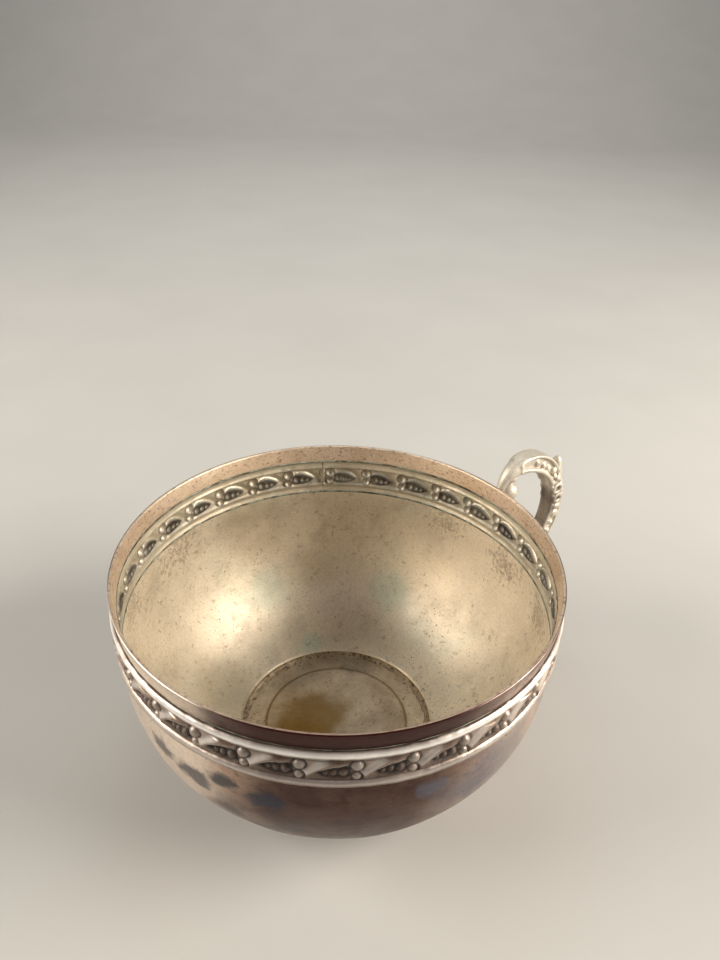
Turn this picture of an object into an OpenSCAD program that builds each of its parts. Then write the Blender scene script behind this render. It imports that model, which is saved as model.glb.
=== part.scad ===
// Handled cup in nickel silver: a spun bowl, a rolled leaf-and-berry border, a plain lip
// and a cast scroll handle, all joined with solder.
// Millimetres. The cup stands on z = 0, its axis is Z and its handle points along +X.

/* [Cup] */
// Outer diameter of the rim
rim_d = 100; // [80:1:130]
// Height from the table to the rim
cup_h = 55; // [45:1:75]
// Thickness of the sheet metal
wall = 0.8; // [0.6:0.05:1.2]
// Thickness of the solder in the seams of the sheet metal
seam_t = 0.15; // [0.1:0.05:0.4]

/* [Lip] */
// Height of the plain lip
lip_h = 4.3; // [3:0.1:8]
// How far the lip flares out on its way up to the rim
lip_flare = 0.6; // [0.2:0.1:1.5]
// Bevel on the outer edge of the rim
rim_bevel = 0.2; // [0.1:0.05:0.4]

/* [Border strip] */
// Height of the rolled strip
strip_h = 9.7; // [8:0.1:14]
// Radius of the round of each edge bead
bead_r = 1.15; // [0.9:0.05:1.4]
// Depth of that round's centre below the strip's face
bead_sink = 0.3; // [0:0.05:0.6]
// Distance from each edge of the strip to the middle of its bead
bead_in = 1.15; // [1:0.05:1.8]
// Thickness that rolling leaves in the raised work
rolled_t = 0.4; // [0.25:0.05:0.6]
// Direction of the joint between the strip's ends, in degrees from the handle
joint_az = 60; // [30:1:150]

/* [Motif] */
// Least length of strip for one leaf-and-berry motif
motif_room = 10.2; // [9:0.1:14]
// Plain length of strip left at its joint
joint_plain = 1.7; // [0.5:0.1:3]
// Length of a leaf
leaf_l = 8.6; // [6:0.1:9]
// Width of a leaf
leaf_w = 3; // [2:0.1:3.6]
// How far a leaf stands out from the strip's face
leaf_relief = 0.8; // [0.4:0.05:1]
// Tilt of a leaf, in degrees
leaf_tilt = 8; // [0:1:15]
// Height of a leaf's middle above the middle of the strip
leaf_up = 0.95; // [0.5:0.05:1.2]
// Distance from the middle of a leaf to its berry
leaf_back = 4.3; // [3:0.1:5]
// Number of peas under a leaf
peas = 3; // [1:1:4]
// Diameter of the smallest pea
pea_small_d = 1.2; // [0.8:0.1:1.6]
// Diameter of the largest pea
pea_large_d = 1.9; // [1.2:0.1:2.2]
// Distance from one pea to the next
pea_step = 1.65; // [1.2:0.05:2]
// Distance from the largest pea to the berry
pea_back = 2.25; // [1.8:0.05:3]
// Drop of the peas below the middle of the strip
pea_down = 1.25; // [0.8:0.05:1.5]
// Diameter of the berry at the end of a leaf
berry_d = 2.6; // [1.6:0.1:3]
// Height of the berry above the middle of the strip
berry_up = 1.25; // [0.5:0.05:1.5]
// Diameter of the knob under the berry
knob_d = 1.7; // [1:0.1:2]
// Drop of the knob below the middle of the strip
knob_down = 1.65; // [1.2:0.05:1.9]
// Depth of the middles of the peas, berries and knobs below the strip's face
round_sink = 0.25; // [0.05:0.05:0.4]

/* [Bowl] */
// Height of the straight wall under the strip
straight_h = 4.5; // [2:0.1:10]
// Outer diameter of the foot
foot_d = 50; // [36:1:64]
// Height of the foot under the belly
foot_h = 1.6; // [1:0.1:4]

/* [Base] */
// How far the base disc sits up inside the foot
base_recess = 0.4; // [0.2:0.1:0.8]
// Diameter of the raised middle of the base
step_d = 36.8; // [20:0.5:40]
// Height of that raised middle
step_h = 0.7; // [0.3:0.1:1.5]
// Width of the solder fillet round the base
fillet_w = 0.6; // [0.3:0.1:1]

/* [Handle] */
// Distance from the rim out to the middle of the arch
arch_out = 8; // [5:0.5:12]
// Height of the strap's middle line above the rim at the arch
arch_rise = 4.9; // [3:0.1:9]
// Distance from the rim out to the strap's middle line at its widest
reach = 22.8; // [18:0.1:30]
// Drop from the rim to that widest point
reach_drop = 12; // [8:0.5:16]
// Drop from the rim to the middle of the lower root
tail_drop = 34; // [28:0.5:38]
// Drop from the rim to the end of the upper root
root_drop = 3.9; // [2.5:0.1:4]
// Thickness of the strap at the upper root
root_t = 2.1; // [1.5:0.1:4]
// Thickness of the strap at the arch
arch_t = 4.9; // [3.5:0.1:6]
// Thickness of the strap at its widest reach
leg_t = 5.7; // [4:0.1:7]
// Thickness of the strap at the lower root
tail_t = 3.6; // [2.5:0.1:5]
// Width of the strap across the handle
strap_w = 4.4; // [3:0.1:7]
// Depth of the hollow down the inner face of the strap
hollow_d = 0.9; // [0.3:0.1:1.4]
// Depth of the sunk panel along each side of the strap
panel_d = 0.4; // [0.1:0.05:0.8]
// How far the strap is let into the face of the cup at both roots
root_bite = 0.15; // [0.1:0.05:0.4]

/* [Handle ornament] */
// Diameter of the ball under the arch
ball_d = 4.4; // [3:0.1:6]
// Distance from the rim out to the middle of the ball
ball_out = 3.9; // [2.8:0.1:5]
// Drop from the rim to the middle of the ball
ball_drop = 2; // [1:0.1:3]
// Diameter of the curled lobe between the ball and the strap
lobe_d = 3.4; // [2.6:0.1:5]
// Distance from the rim out to the middle of the lobe
lobe_out = 3.3; // [2.5:0.1:4.5]
// Height of the middle of the lobe above the rim
lobe_rise = 0.9; // [0.2:0.1:2]
// Number of pearls on each side
pearls = 10; // [6:1:10]
// Distance along the strap from the arch to the first pearl
pearl_start = 3.2; // [2:0.1:6]
// Distance along the strap from one pearl to the next
pearl_step = 2.9; // [2.4:0.1:3.4]
// Diameter of the first pearl
pearl_small_d = 1.3; // [0.8:0.1:2]
// Diameter of the full-grown pearls
pearl_large_d = 2.5; // [1.6:0.1:3]
// Number of pearls that are still growing
pearl_grow = 4; // [1:1:6]
// Length of the thumb spur
spur_l = 6.6; // [5:0.1:10]
// Diameter of the spur at its root
spur_root_d = 4.2; // [3:0.1:5]
// Diameter of the spur's tip
spur_tip_d = 2; // [0.8:0.1:2.4]
// Lean of the spur from upright, in degrees
spur_lean = 3; // [0:1:30]
// Distance along the strap from the arch to the spur's root
spur_along = 16; // [12:0.5:18]
// How far the spur's root lies out from the strap's middle line
spur_out = 1; // [0:0.1:1.2]

/* [Solder] */
// Width of the solder fillets along the handle's roots
root_fillet_w = 0.9; // [0.4:0.1:1.5]
// Thickness of those fillets
root_fillet_t = 0.5; // [0.2:0.05:0.8]
// Length of the fillets on the lip
upper_fillet_l = 3; // [1.5:0.1:3.5]
// Length of the fillets on the belly
lower_fillet_l = 2.2; // [1:0.1:2.8]

/* [Hidden] */
$fn = 96;
eps = 0.01;
rim_r = rim_d / 2;
face_r = rim_r - lip_flare;
lip_z = cup_h - lip_h;
strip_top = lip_z - seam_t;
strip_low = strip_top - strip_h;
strip_mid = (strip_top + strip_low) / 2;
bowl_top = strip_low - seam_t;
belly_z = bowl_top - straight_h;
foot_r = foot_d / 2;
foot_in_r = foot_r - wall;
step_r = step_d / 2;
base_top = base_recess + wall;
// The belly is an arc that leaves the straight wall upright and comes in to the top of the foot.
belly_drop = belly_z - foot_h;
arc_x = (face_r ^ 2 - foot_r ^ 2 - belly_drop ^ 2) / (2 * (face_r - foot_r));
arc_r = face_r - arc_x;
joint_deg = seam_t / face_r * 180 / PI;
// As many whole motifs as there is room for share out the strip.
strip_l = 2 * PI * face_r - joint_plain;
motifs = floor(strip_l / motif_room);
motif_deg = strip_l / motifs / face_r * 180 / PI;
motif_start = joint_az + (joint_plain + seam_t) / 2 / face_r * 180 / PI;
// A leaf is what two balls share. They cross at its tips on the strip's face.
leaf_ball_up = (leaf_l ^ 2 / leaf_w - leaf_w) / 4;
leaf_ball_in = (leaf_l ^ 2 / 4 - leaf_relief ^ 2) / (2 * leaf_relief);
leaf_ball_r = norm([(leaf_l ^ 2 / leaf_w + leaf_w) / 4, leaf_ball_in]);
// The strap's middle line is three quarter ellipses: root to arch, arch to reach, reach to tail.
arch_x = rim_r + arch_out;
arch_z = cup_h + arch_rise;
reach_x = rim_r + reach;
reach_z = cup_h - reach_drop;
root_x = face_r + root_t / 2 - root_bite;
root_z = cup_h - root_drop;
tail_z = cup_h - tail_drop;
tail_x = belly_at(tail_z - tail_t / 2) - root_bite;
strap_steps = 18;
strap_turns = [for (i = [0:3 * strap_steps]) i / strap_steps];
strap_points = [for (t = strap_turns) strap_at(t)];
strap_lengths = running_length(strap_points);
arch_length = strap_lengths[strap_steps];

// Shared curves

// Outer radius of the belly at height z
function belly_at(z) = arc_x + sqrt(arc_r ^ 2 - (belly_z - z) ^ 2);

// Outer radius of the lip at height z
function lip_at(z) = face_r + lip_flare * (z - lip_z) / lip_h;

// Value between a and b at share t
function mix(a, b, t) = a + (b - a) * t;

// Smooth step from 0 to 1 as t passes from low to high
function smooth(low, high, t) = let (s = min(1, max(0, (t - low) / (high - low)))) s * s * (3 - 2 * s);

// Distance along a list of points up to each of them
function running_length(points) =
    let (steps = [for (i = [1:len(points) - 1]) norm(points[i] - points[i - 1])])
    [for (i = 0, s = 0; i < len(points); s = s + (i < len(steps) ? steps[i] : 0), i = i + 1) s];

// Middle line of the strap as [x, z]. Share t is 0 at the root, 1 at the arch, 2 at the reach, 3 at the tail.
function strap_at(t) =
    t < 1 ? [mix(arch_x, root_x, cos(90 * t)), mix(root_z, arch_z, sin(90 * t))]
    : t < 2 ? [mix(arch_x, reach_x, sin(90 * (t - 1))), mix(reach_z, arch_z, cos(90 * (t - 1)))]
    : [mix(tail_x, reach_x, cos(90 * (t - 2))), mix(reach_z, tail_z, sin(90 * (t - 2)))];

// Share t of the middle line at a distance along the strap from the arch
function turn_at(along) =
    lookup(arch_length + along, [for (i = [0:len(strap_turns) - 1]) [strap_lengths[i], strap_turns[i]]]);

// Unit direction along the middle line
function strap_run(t) =
    let (d = strap_at(min(3, t + eps)) - strap_at(max(0, t - eps))) d / norm(d);

// Thickness of the strap along its line
function strap_t(t) =
    t < 1 ? mix(root_t, arch_t, smooth(0, 1, t))
    : t < 2 ? mix(arch_t, leg_t, smooth(1, 2, t))
    : mix(leg_t, tail_t, smooth(2, 3, t));

// Half of the strap's section, from the middle of its outer face round to the middle of its inner face.
// The outer face is flat where it meets the cup and crowned between.
function half_section(t) =
    let (a = strap_t(t) / 2,
         b = strap_w / 2,
         crown = smooth(0.3, 0.8, t) * (1 - smooth(2.6, 2.95, t)),
         hollow = hollow_d * smooth(0.8, 1.2, t) * (1 - smooth(2.6, 2.9, t)),
         panel = panel_d * smooth(0.75, 1, t) * (1 - smooth(2.5, 2.8, t)))
    [[a, 0], [mix(a, 0.92 * a, crown), 0.5 * b], [mix(0.98 * a, 0.66 * a, crown), mix(0.95, 0.86, crown) * b],
     [mix(0.9 * a, 0.34 * a, crown), b], [0.24 * a, b - panel], [-0.56 * a, b - panel], [-0.68 * a, b],
     [-0.92 * a, 0.9 * b], [-a, 0.68 * b], [-a + 0.8 * hollow, 0.4 * b], [-a + hollow, 0]];

// The whole section as a loop of points in space
function section(t) =
    let (half = half_section(t),
         last = len(half) - 1,
         loop = concat(half, [for (i = [last - 1:-1:1]) [half[i][0], -half[i][1]]]),
         at = strap_at(t),
         run = strap_run(t))
    [for (p = loop) [at[0] - run[1] * p[0], p[1], at[1] + run[0] * p[0]]];

// Outline and bodies that several pieces share

// Outline of the cup's outer face, filled to the axis
module cup_outline() {
    square([foot_r, foot_h]);
    intersection() {
        translate([arc_x, belly_z]) circle(arc_r);
        translate([0, foot_h]) square([face_r + 1, belly_drop]);
    }
    translate([0, belly_z]) square([face_r, lip_z - belly_z]);
    polygon([[0, lip_z], [face_r, lip_z], [rim_r, cup_h], [0, cup_h]]);
}

// Section of the strip from the front: a plain face with a bead rolled out along each edge
module strip_front() {
    translate([face_r - wall, strip_low]) square([wall, strip_h]);
    bead_rounds(bead_r);
}

// What lies behind the strip: the inside of the cup and the hollows of the beads
module strip_back() {
    translate([0, strip_low - leaf_l]) square([face_r - wall, strip_h + 2 * leaf_l]);
    bead_rounds(bead_r - rolled_t);
}

// The two rounds of the beads at a given radius
module bead_rounds(r) {
    translate([face_r - bead_sink, strip_top - bead_in]) circle(r);
    translate([face_r - bead_sink, strip_low + bead_in]) circle(r);
}

// Leaf about its middle, standing on the strip's face and reaching into the cup behind it
module leaf() {
    rotate([leaf_tilt, 0, 0]) intersection() {
        translate([-leaf_ball_in, 0, leaf_ball_up]) sphere(leaf_ball_r, $fn = 64);
        translate([-leaf_ball_in, 0, -leaf_ball_up]) sphere(leaf_ball_r, $fn = 64);
    }
}

// Motif about its berry: a leaf, a row of growing peas under it, the berry at its end and a knob below
module motif() {
    translate([0, -leaf_back, leaf_up]) leaf();
    for (k = [0:peas - 1]) {
        translate([-round_sink, -pea_back - k * pea_step, -pea_down])
            sphere(d = mix(pea_large_d, pea_small_d, k / max(1, peas - 1)), $fn = 24);
    }
    translate([-round_sink, 0, berry_up]) sphere(d = berry_d, $fn = 24);
    translate([-round_sink, 0, -knob_down]) sphere(d = knob_d, $fn = 24);
}

// Plain swept body of the handle's strap, before it is fitted to the cup
module strap() {
    loops = [for (t = strap_turns) section(t)];
    n = len(loops[0]);
    m = len(loops);
    points = [for (loop = loops) each loop];
    sides = [for (j = [0:m - 2], i = [0:n - 1], half = [0, 1])
        let (p = j * n + i, q = j * n + (i + 1) % n)
        half == 0 ? [p, q, q + n] : [p, q + n, p + n]];
    first = [for (i = [n - 1:-1:0]) i];
    last = [for (i = [0:n - 1]) (m - 1) * n + i];
    polyhedron(points, concat([first, last], sides), convexity = 6);
}

// Row of graded pearls along one side of the strap
module pearl_row(side) {
    for (k = [0:pearls - 1]) {
        d = mix(pearl_small_d, pearl_large_d, min(1, k / pearl_grow));
        t = turn_at(pearl_start + k * pearl_step);
        at = strap_at(t);
        translate([at[0], side * (strap_w / 2 - panel_d), at[1]]) sphere(d / 2, $fn = 24);
    }
}

// Pointed thumb rest on the shoulder of the strap
module spur() {
    at = strap_at(turn_at(spur_along));
    translate([at[0] + spur_out, 0, at[1]]) rotate([0, spur_lean, 0]) {
        cylinder(h = spur_l - spur_tip_d / 2, d1 = spur_root_d, d2 = spur_tip_d, $fn = 32);
        translate([0, 0, spur_l - spur_tip_d / 2]) sphere(d = spur_tip_d * 1.02, $fn = 32);
    }
}

// Pair of solder fillets turned from the section given, one along each side of the strap.
// The cup has radius r where they start.
module root_fillets(r) {
    start = asin(strap_w / 2 / r);
    sweep = root_fillet_w / r * 180 / PI;
    for (side = [0, 1]) {
        mirror([0, side, 0]) rotate([0, 0, start]) rotate_extrude(angle = sweep) children();
    }
}

// Pieces

module lip_collar() {
    color("tan") rotate_extrude()
        polygon([[face_r - wall, lip_z], [face_r, lip_z], [rim_r, cup_h - rim_bevel],
                 [rim_r - rim_bevel, cup_h], [rim_r - wall, cup_h]]);
}

module lip_seam() {
    color("darkseagreen") rotate_extrude()
        translate([face_r - wall, strip_top]) square([wall, seam_t]);
}

module border_strip() {
    berry_turn = motif_deg - berry_d / 2 / face_r * 180 / PI;
    color("silver") difference() {
        union() {
            rotate_extrude() strip_front();
            for (i = [0:motifs - 1]) {
                rotate([0, 0, motif_start + i * motif_deg + berry_turn])
                    translate([face_r, 0, strip_mid]) motif();
            }
        }
        rotate_extrude() strip_back();
        rotate([0, 0, joint_az]) rotate_extrude(angle = joint_deg)
            translate([face_r - 2 * wall, strip_low - wall])
                square([2 * wall + 2 * bead_r, strip_h + 2 * wall]);
    }
}

module strip_joint() {
    color("darkseagreen") rotate([0, 0, joint_az]) rotate_extrude(angle = joint_deg) difference() {
        strip_front();
        strip_back();
    }
}

module strip_seam() {
    color("darkseagreen") rotate_extrude()
        translate([face_r - wall, bowl_top]) square([wall, seam_t]);
}

module bowl() {
    color("rosybrown") rotate_extrude() difference() {
        intersection() {
            cup_outline();
            square([rim_d, bowl_top]);
        }
        intersection() {
            translate([arc_x, belly_z]) circle(arc_r - wall);
            square([rim_d, belly_z]);
        }
        translate([0, belly_z]) square([face_r - wall, cup_h]);
        square([foot_in_r, cup_h]);
    }
}

module base_disc() {
    color("tan") rotate_extrude() {
        translate([step_r - wall, base_recess]) square([foot_in_r - step_r + wall, wall]);
        translate([step_r - wall, base_recess]) square([wall, step_h + wall]);
        translate([0, base_recess + step_h]) square([step_r, wall]);
    }
}

module base_seam() {
    color("dimgray") rotate_extrude()
        polygon([[foot_in_r - fillet_w, base_top], [foot_in_r, base_top], [foot_in_r, base_top + fillet_w]]);
}

module handle() {
    color("gainsboro") difference() {
        union() {
            strap();
            pearl_row(1);
            pearl_row(-1);
            spur();
            translate([rim_r + ball_out, 0, cup_h - ball_drop]) sphere(d = ball_d, $fn = 48);
            translate([rim_r + lobe_out, 0, cup_h + lobe_rise]) sphere(d = lobe_d, $fn = 48);
        }
        rotate_extrude() cup_outline();
    }
}

module upper_solder() {
    low = cup_h - root_drop / 2 - upper_fillet_l / 2;
    top = low + upper_fillet_l;
    color("darkgray") root_fillets(lip_at(low))
        polygon([[lip_at(low), low], [lip_at(low) + root_fillet_t, low], [lip_at(top) + root_fillet_t, top],
                 [lip_at(top), top]]);
}

module lower_solder() {
    low = tail_z - lower_fillet_l / 2;
    color("darkgray") root_fillets(belly_at(low)) intersection() {
        difference() {
            translate([arc_x, belly_z]) circle(arc_r + root_fillet_t);
            translate([arc_x, belly_z]) circle(arc_r);
        }
        translate([arc_x, low]) square([arc_r + 1, lower_fillet_l]);
    }
}

lip_collar();
lip_seam();
border_strip();
strip_joint();
strip_seam();
bowl();
base_disc();
base_seam();
handle();
upper_solder();
lower_solder();
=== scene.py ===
"""Handled cup in nickel silver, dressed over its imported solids.

The cup stands on z = 0, its axis is Z and its handle points along +X. Sizes here are in
millimetres, as in the solids, and turn to metres when a mesh is made.
"""
import logging
import math
from dataclasses import dataclass
from enum import Enum
from functools import partial
from typing import Any, Callable, Optional, Sequence

import bmesh
import bpy
import numpy as np
from mathutils import Matrix, Vector


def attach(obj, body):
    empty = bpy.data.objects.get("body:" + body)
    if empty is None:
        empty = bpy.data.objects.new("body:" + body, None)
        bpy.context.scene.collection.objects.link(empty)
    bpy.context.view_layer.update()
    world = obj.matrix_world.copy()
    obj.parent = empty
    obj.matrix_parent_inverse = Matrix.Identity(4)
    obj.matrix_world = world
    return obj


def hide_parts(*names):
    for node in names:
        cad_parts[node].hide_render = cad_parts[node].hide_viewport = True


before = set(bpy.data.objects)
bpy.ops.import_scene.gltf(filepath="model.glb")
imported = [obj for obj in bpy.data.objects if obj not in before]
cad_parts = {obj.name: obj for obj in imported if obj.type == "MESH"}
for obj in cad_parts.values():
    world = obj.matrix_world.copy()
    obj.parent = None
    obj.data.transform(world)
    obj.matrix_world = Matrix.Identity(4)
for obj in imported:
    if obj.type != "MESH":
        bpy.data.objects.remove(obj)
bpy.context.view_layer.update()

MM = 0.001
BODY = "root"
LOG = logging.getLogger("cup")
Piece = bpy.types.Object
Material = bpy.types.Material
Tree = bpy.types.NodeTree
Array = np.ndarray
Change = Callable[[Array], Array]


class Slot(Enum):
    """Material slots of the record."""

    LIP = "lip_metal"
    BORDER = "border_metal"
    BOWL = "bowl_metal"
    BASE = "base_metal"
    HANDLE = "handle_metal"
    SEAM = "seam_solder"
    BASE_SOLDER = "base_solder"
    HANDLE_SOLDER = "handle_solder"


class Side(Enum):
    """Which way a band of sheet metal faces, as the index of its material."""

    OUTSIDE = 0
    INSIDE = 1


# Small tools


def srgb(code: str) -> tuple[float, float, float, float]:
    """Turns an sRGB hex code to a linear colour.

    Args:
        code: Six hex digits after a hash.

    Returns:
        Red, green, blue and full alpha.
    """
    shares = [int(code[i:i + 2], 16) / 255 for i in (1, 3, 5)]
    linear = [s / 12.92 if s <= 0.04045 else ((s + 0.055) / 1.055) ** 2.4 for s in shares]
    return linear[0], linear[1], linear[2], 1.0


def per_mm(size: float) -> float:
    """Texture scale on Object coordinates for features of that size in millimetres."""
    return 1 / (size * MM)


def add_node(
    tree: Tree,
    kind: str,
    feeds: Optional[dict[Any, Any]] = None,
    out: Any = 0,
    stops: Sequence[tuple[float, str]] = (),
    **settings: Any,
) -> Any:
    """Adds a node with its settings and what feeds it.

    Args:
        tree: The tree that gets the node.
        kind: Blender's name for the node's type.
        feeds: Input name or index to a value, an output socket, or a list of output sockets.
        out: Name or index of the output that is handed back.
        stops: Places and colours of the two ends of a colour ramp.
        settings: Properties of the node.

    Returns:
        That output's socket, or nothing from a node without outputs.
    """
    node = tree.nodes.new(kind)
    for key, value in settings.items():
        setattr(node, key, value)
    if stops:
        for stop, (place, code) in zip(node.color_ramp.elements, stops):
            stop.position, stop.color = place, srgb(code)
    for key, value in (feeds or {}).items():
        for source in value if isinstance(value, list) else [value]:
            if isinstance(source, bpy.types.NodeSocket):
                tree.links.new(source, node.inputs[key])
            else:
                node.inputs[key].default_value = source
    return node.outputs[out] if len(node.outputs) else None


def bare_tree(owner: Any) -> Tree:
    """Turns on the nodes of a new material or world and clears them.

    Args:
        owner: The material or world.

    Returns:
        Its empty tree.
    """
    owner.use_nodes = True
    owner.node_tree.nodes.clear()
    return owner.node_tree


def node_tree(name: str, inputs: dict[str, str]) -> tuple[Tree, Any]:
    """Starts a Geometry Nodes tree.

    Args:
        name: Name of the tree.
        inputs: Names of its inputs, and the kinds of their sockets.

    Returns:
        The tree, and the sockets that give its inputs' values.
    """
    tree = bpy.data.node_groups.new(name, "GeometryNodeTree")
    for label, kind in inputs.items():
        tree.interface.new_socket(label, in_out="INPUT", socket_type="NodeSocket" + kind)
    tree.interface.new_socket("Geometry", in_out="OUTPUT", socket_type="NodeSocketGeometry")
    return tree, add_node(tree, "NodeGroupInput").node.outputs


def smooth(low: float, high: float, x: Any) -> Any:
    """Smooth step from 0 to 1 as x passes from low to high."""
    s = np.clip((np.asarray(x, dtype=float) - low) / (high - low), 0, 1)
    return s * s * (3 - 2 * s)


def bell(x: Any, width: float) -> Any:
    """Bell curve of height 1 over x = 0, down to about a third at that width."""
    return np.exp(-((x / width) ** 2))


def dome(apart: Array) -> Array:
    """Height of a half ball of radius 1 at each distance from its middle."""
    return np.sqrt(np.clip(1 - apart ** 2, 0, 1))


def ripple(angle: Array, seed: float, waves: Sequence[int]) -> Array:
    """Uneven line of about -1 to 1 from whole waves to a turn, so that it closes on itself."""
    total = sum(np.sin(w * angle + seed * (i + 1) * 1.7) for i, w in enumerate(waves))
    return total / math.sqrt(len(waves))


def polar(points: Array) -> tuple[Array, Array]:
    """Directions of points round the axis, and their distances from it."""
    return np.arctan2(points[:, 1], points[:, 0]), np.hypot(points[:, 0], points[:, 1])


def at_radius(points: Array, radius: Array) -> Array:
    """Moves points straight in or out to the given distances from the axis."""
    share = radius / polar(points)[1].clip(1e-6)
    return points * np.stack([share, share, np.ones_like(share)], axis=-1)


def loft(rings: int, size: int, first: int = 0, around: bool = False) -> list[list[int]]:
    """Faces between closed rings of points that follow one another.

    Args:
        rings: Number of rings.
        size: Points in a ring.
        first: Index of the first point.
        around: Whether the last ring joins the first. If not, both ends are closed.

    Returns:
        Corners of each face.
    """
    ring = first + np.arange(rings * size).reshape(rings, size)
    ahead = np.roll(ring, -1, 0)
    sides = np.stack([ring, np.roll(ring, -1, 1), np.roll(ahead, -1, 1), ahead], axis=-1)
    if around:
        return sides.reshape(-1, 4).tolist()
    return sides[:-1].reshape(-1, 4).tolist() + [ring[0].tolist(), ring[-1].tolist()]


def placed(name: str, data: Any) -> Piece:
    """Makes an object and links it to the scene.

    Args:
        name: Name of the object.
        data: Its mesh, camera or light.

    Returns:
        The object.
    """
    piece = bpy.data.objects.new(name, data)
    bpy.context.scene.collection.objects.link(piece)
    return piece


def mesh_object(
    name: str, points: Array, faces: Sequence[Sequence[int]], sides: Optional[Array] = None
) -> Piece:
    """Makes a closed, outward-facing, smooth-shaded mesh object.

    Args:
        name: Name of the object.
        points: Points in millimetres.
        faces: Corners of each face.
        sides: Material index of each face.

    Returns:
        The object, linked to the scene.
    """
    mesh = bpy.data.meshes.new(name)
    mesh.from_pydata((points * MM).tolist(), [], faces)
    if sides is not None:
        mesh.polygons.foreach_set("material_index", sides.astype(np.int32))
    work = bmesh.new()
    work.from_mesh(mesh)
    bmesh.ops.remove_doubles(work, verts=work.verts, dist=1e-7)
    bmesh.ops.dissolve_degenerate(work, edges=work.edges, dist=1e-8)
    bmesh.ops.recalc_face_normals(work, faces=work.faces)
    work.to_mesh(mesh)
    work.free()
    mesh.shade_smooth()
    return placed(name, mesh)


def rounded(loop: Sequence[Sequence[float]], radius: float, steps: int) -> Array:
    """Rounds the corners of a closed loop of points.

    Args:
        loop: Corners as (radius, height).
        radius: Radius of the rounding, cut to fit short sides.
        steps: Points on each round, less one.

    Returns:
        The rounded loop.
    """
    corners = np.asarray(loop, dtype=float)
    made = []
    for before, at, after in zip(np.roll(corners, 1, 0), corners, np.roll(corners, -1, 0)):
        reach = min(radius, 0.45 * np.linalg.norm(before - at), 0.45 * np.linalg.norm(after - at))
        first = at + (before - at) / np.linalg.norm(before - at) * reach
        last = at + (after - at) / np.linalg.norm(after - at) * reach
        for t in np.linspace(0, 1, steps + 1):
            made.append((1 - t) ** 2 * first + 2 * t * (1 - t) * at + t * t * last)
    return np.array(made)


def turned(
    name: str, loop: Array, segments: int, outer: Optional[Change] = None, shape: Optional[Change] = None
) -> Piece:
    """Turns a closed loop about the axis.

    Args:
        name: Name of the piece.
        loop: Points as (radius, height), round the section.
        segments: Steps round the axis.
        outer: Tells from the middles of the loop's sides which of them face outside.
        shape: Moves the finished points.

    Returns:
        The turned piece.
    """
    angle = np.arange(segments) * 2 * math.pi / segments
    flat = np.outer(np.cos(angle), loop[:, 0]), np.outer(np.sin(angle), loop[:, 0])
    points = np.stack([*flat, np.tile(loop[:, 1], (segments, 1))], axis=-1).reshape(-1, 3)
    if shape is not None:
        points = shape(points)
    sides = None
    if outer is not None:
        out = outer((loop + np.roll(loop, -1, 0)) / 2)
        sides = np.tile(np.where(out, Side.OUTSIDE.value, Side.INSIDE.value), segments)
    return mesh_object(name, points, loft(segments, len(loop), around=True), sides)


def read(items: Any, what: str, width: int, kind: type = float) -> Array:
    """Reads a property of all items of a mesh.

    Args:
        items: The mesh's points, edges or faces.
        what: Name of the property.
        width: Numbers that each item has of it.
        kind: Type of the numbers.

    Returns:
        A row for each item.
    """
    values = np.empty(len(items) * width, dtype=kind)
    items.foreach_get(what, values)
    return values.reshape(-1, width)


def mark(mesh: bpy.types.Mesh, hollow: Array, crest: Array) -> None:
    """Stores how grimy and how worn each point is, for the finish; on the border strip these also hold
    painted shade and painted highlights.

    Args:
        mesh: The mesh.
        hollow: Share of grime at each point, with painted shade on the border strip.
        crest: Share of worn metal at each point, with painted highlights on the border strip.
    """
    for name, value in (("hollow", hollow), ("crest", crest)):
        values = value.ravel().astype(np.float32)
        mesh.attributes.new(name, "FLOAT", "POINT").data.foreach_set("value", values)


def wear_marks(mesh: bpy.types.Mesh, blur: int) -> None:
    """Finds and stores how hollow and how proud each point lies.

    Args:
        mesh: A fine, even mesh.
        blur: Rounds of averaging over the neighbours, which set how wide a hollow counts.
    """
    points, normals = read(mesh.vertices, "co", 3), read(mesh.vertices, "normal", 3)
    pairs = read(mesh.edges, "vertices", 2, np.int64)
    degree = np.maximum(1, np.bincount(pairs.ravel(), minlength=len(points)))[:, None]
    mean = points.copy()
    for _ in range(blur):
        total = np.zeros_like(mean)
        np.add.at(total, pairs[:, 0], mean[pairs[:, 1]])
        np.add.at(total, pairs[:, 1], mean[pairs[:, 0]])
        mean = total / degree
    rise = ((points - mean) * normals).sum(1) / MM
    mark(mesh, smooth(0.01, 0.16, -rise), smooth(0.03, 0.3, rise))


def dress(piece: Piece, node: str, slot: Slot, *finishes: Material) -> None:
    """Gives a piece its finish and its place in the frame.

    Args:
        piece: The finished piece.
        node: The solid that it stands for.
        slot: The record's slot for its material; not used.
        finishes: Materials by the index that the faces name; none for a piece that has its own.
    """
    sides = read(piece.data.polygons, "material_index", 1, np.int32)
    for finish in finishes:
        piece.data.materials.append(finish)
    piece.data.polygons.foreach_set("material_index", sides.ravel())
    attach(piece, BODY)
    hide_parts(node)
    LOG.info("%s: %d faces", piece.name, len(piece.data.polygons))


def baked(piece: Piece) -> Piece:
    """Turns a piece's modifiers into a plain mesh and takes them off.

    Args:
        piece: The piece with its modifiers.

    Returns:
        The same piece with the baked mesh.
    """
    graph = bpy.context.evaluated_depsgraph_get()
    mesh = bpy.data.meshes.new_from_object(piece.evaluated_get(graph))
    piece.modifiers.clear()
    piece.data = mesh
    mesh.name = piece.name
    return piece


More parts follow.
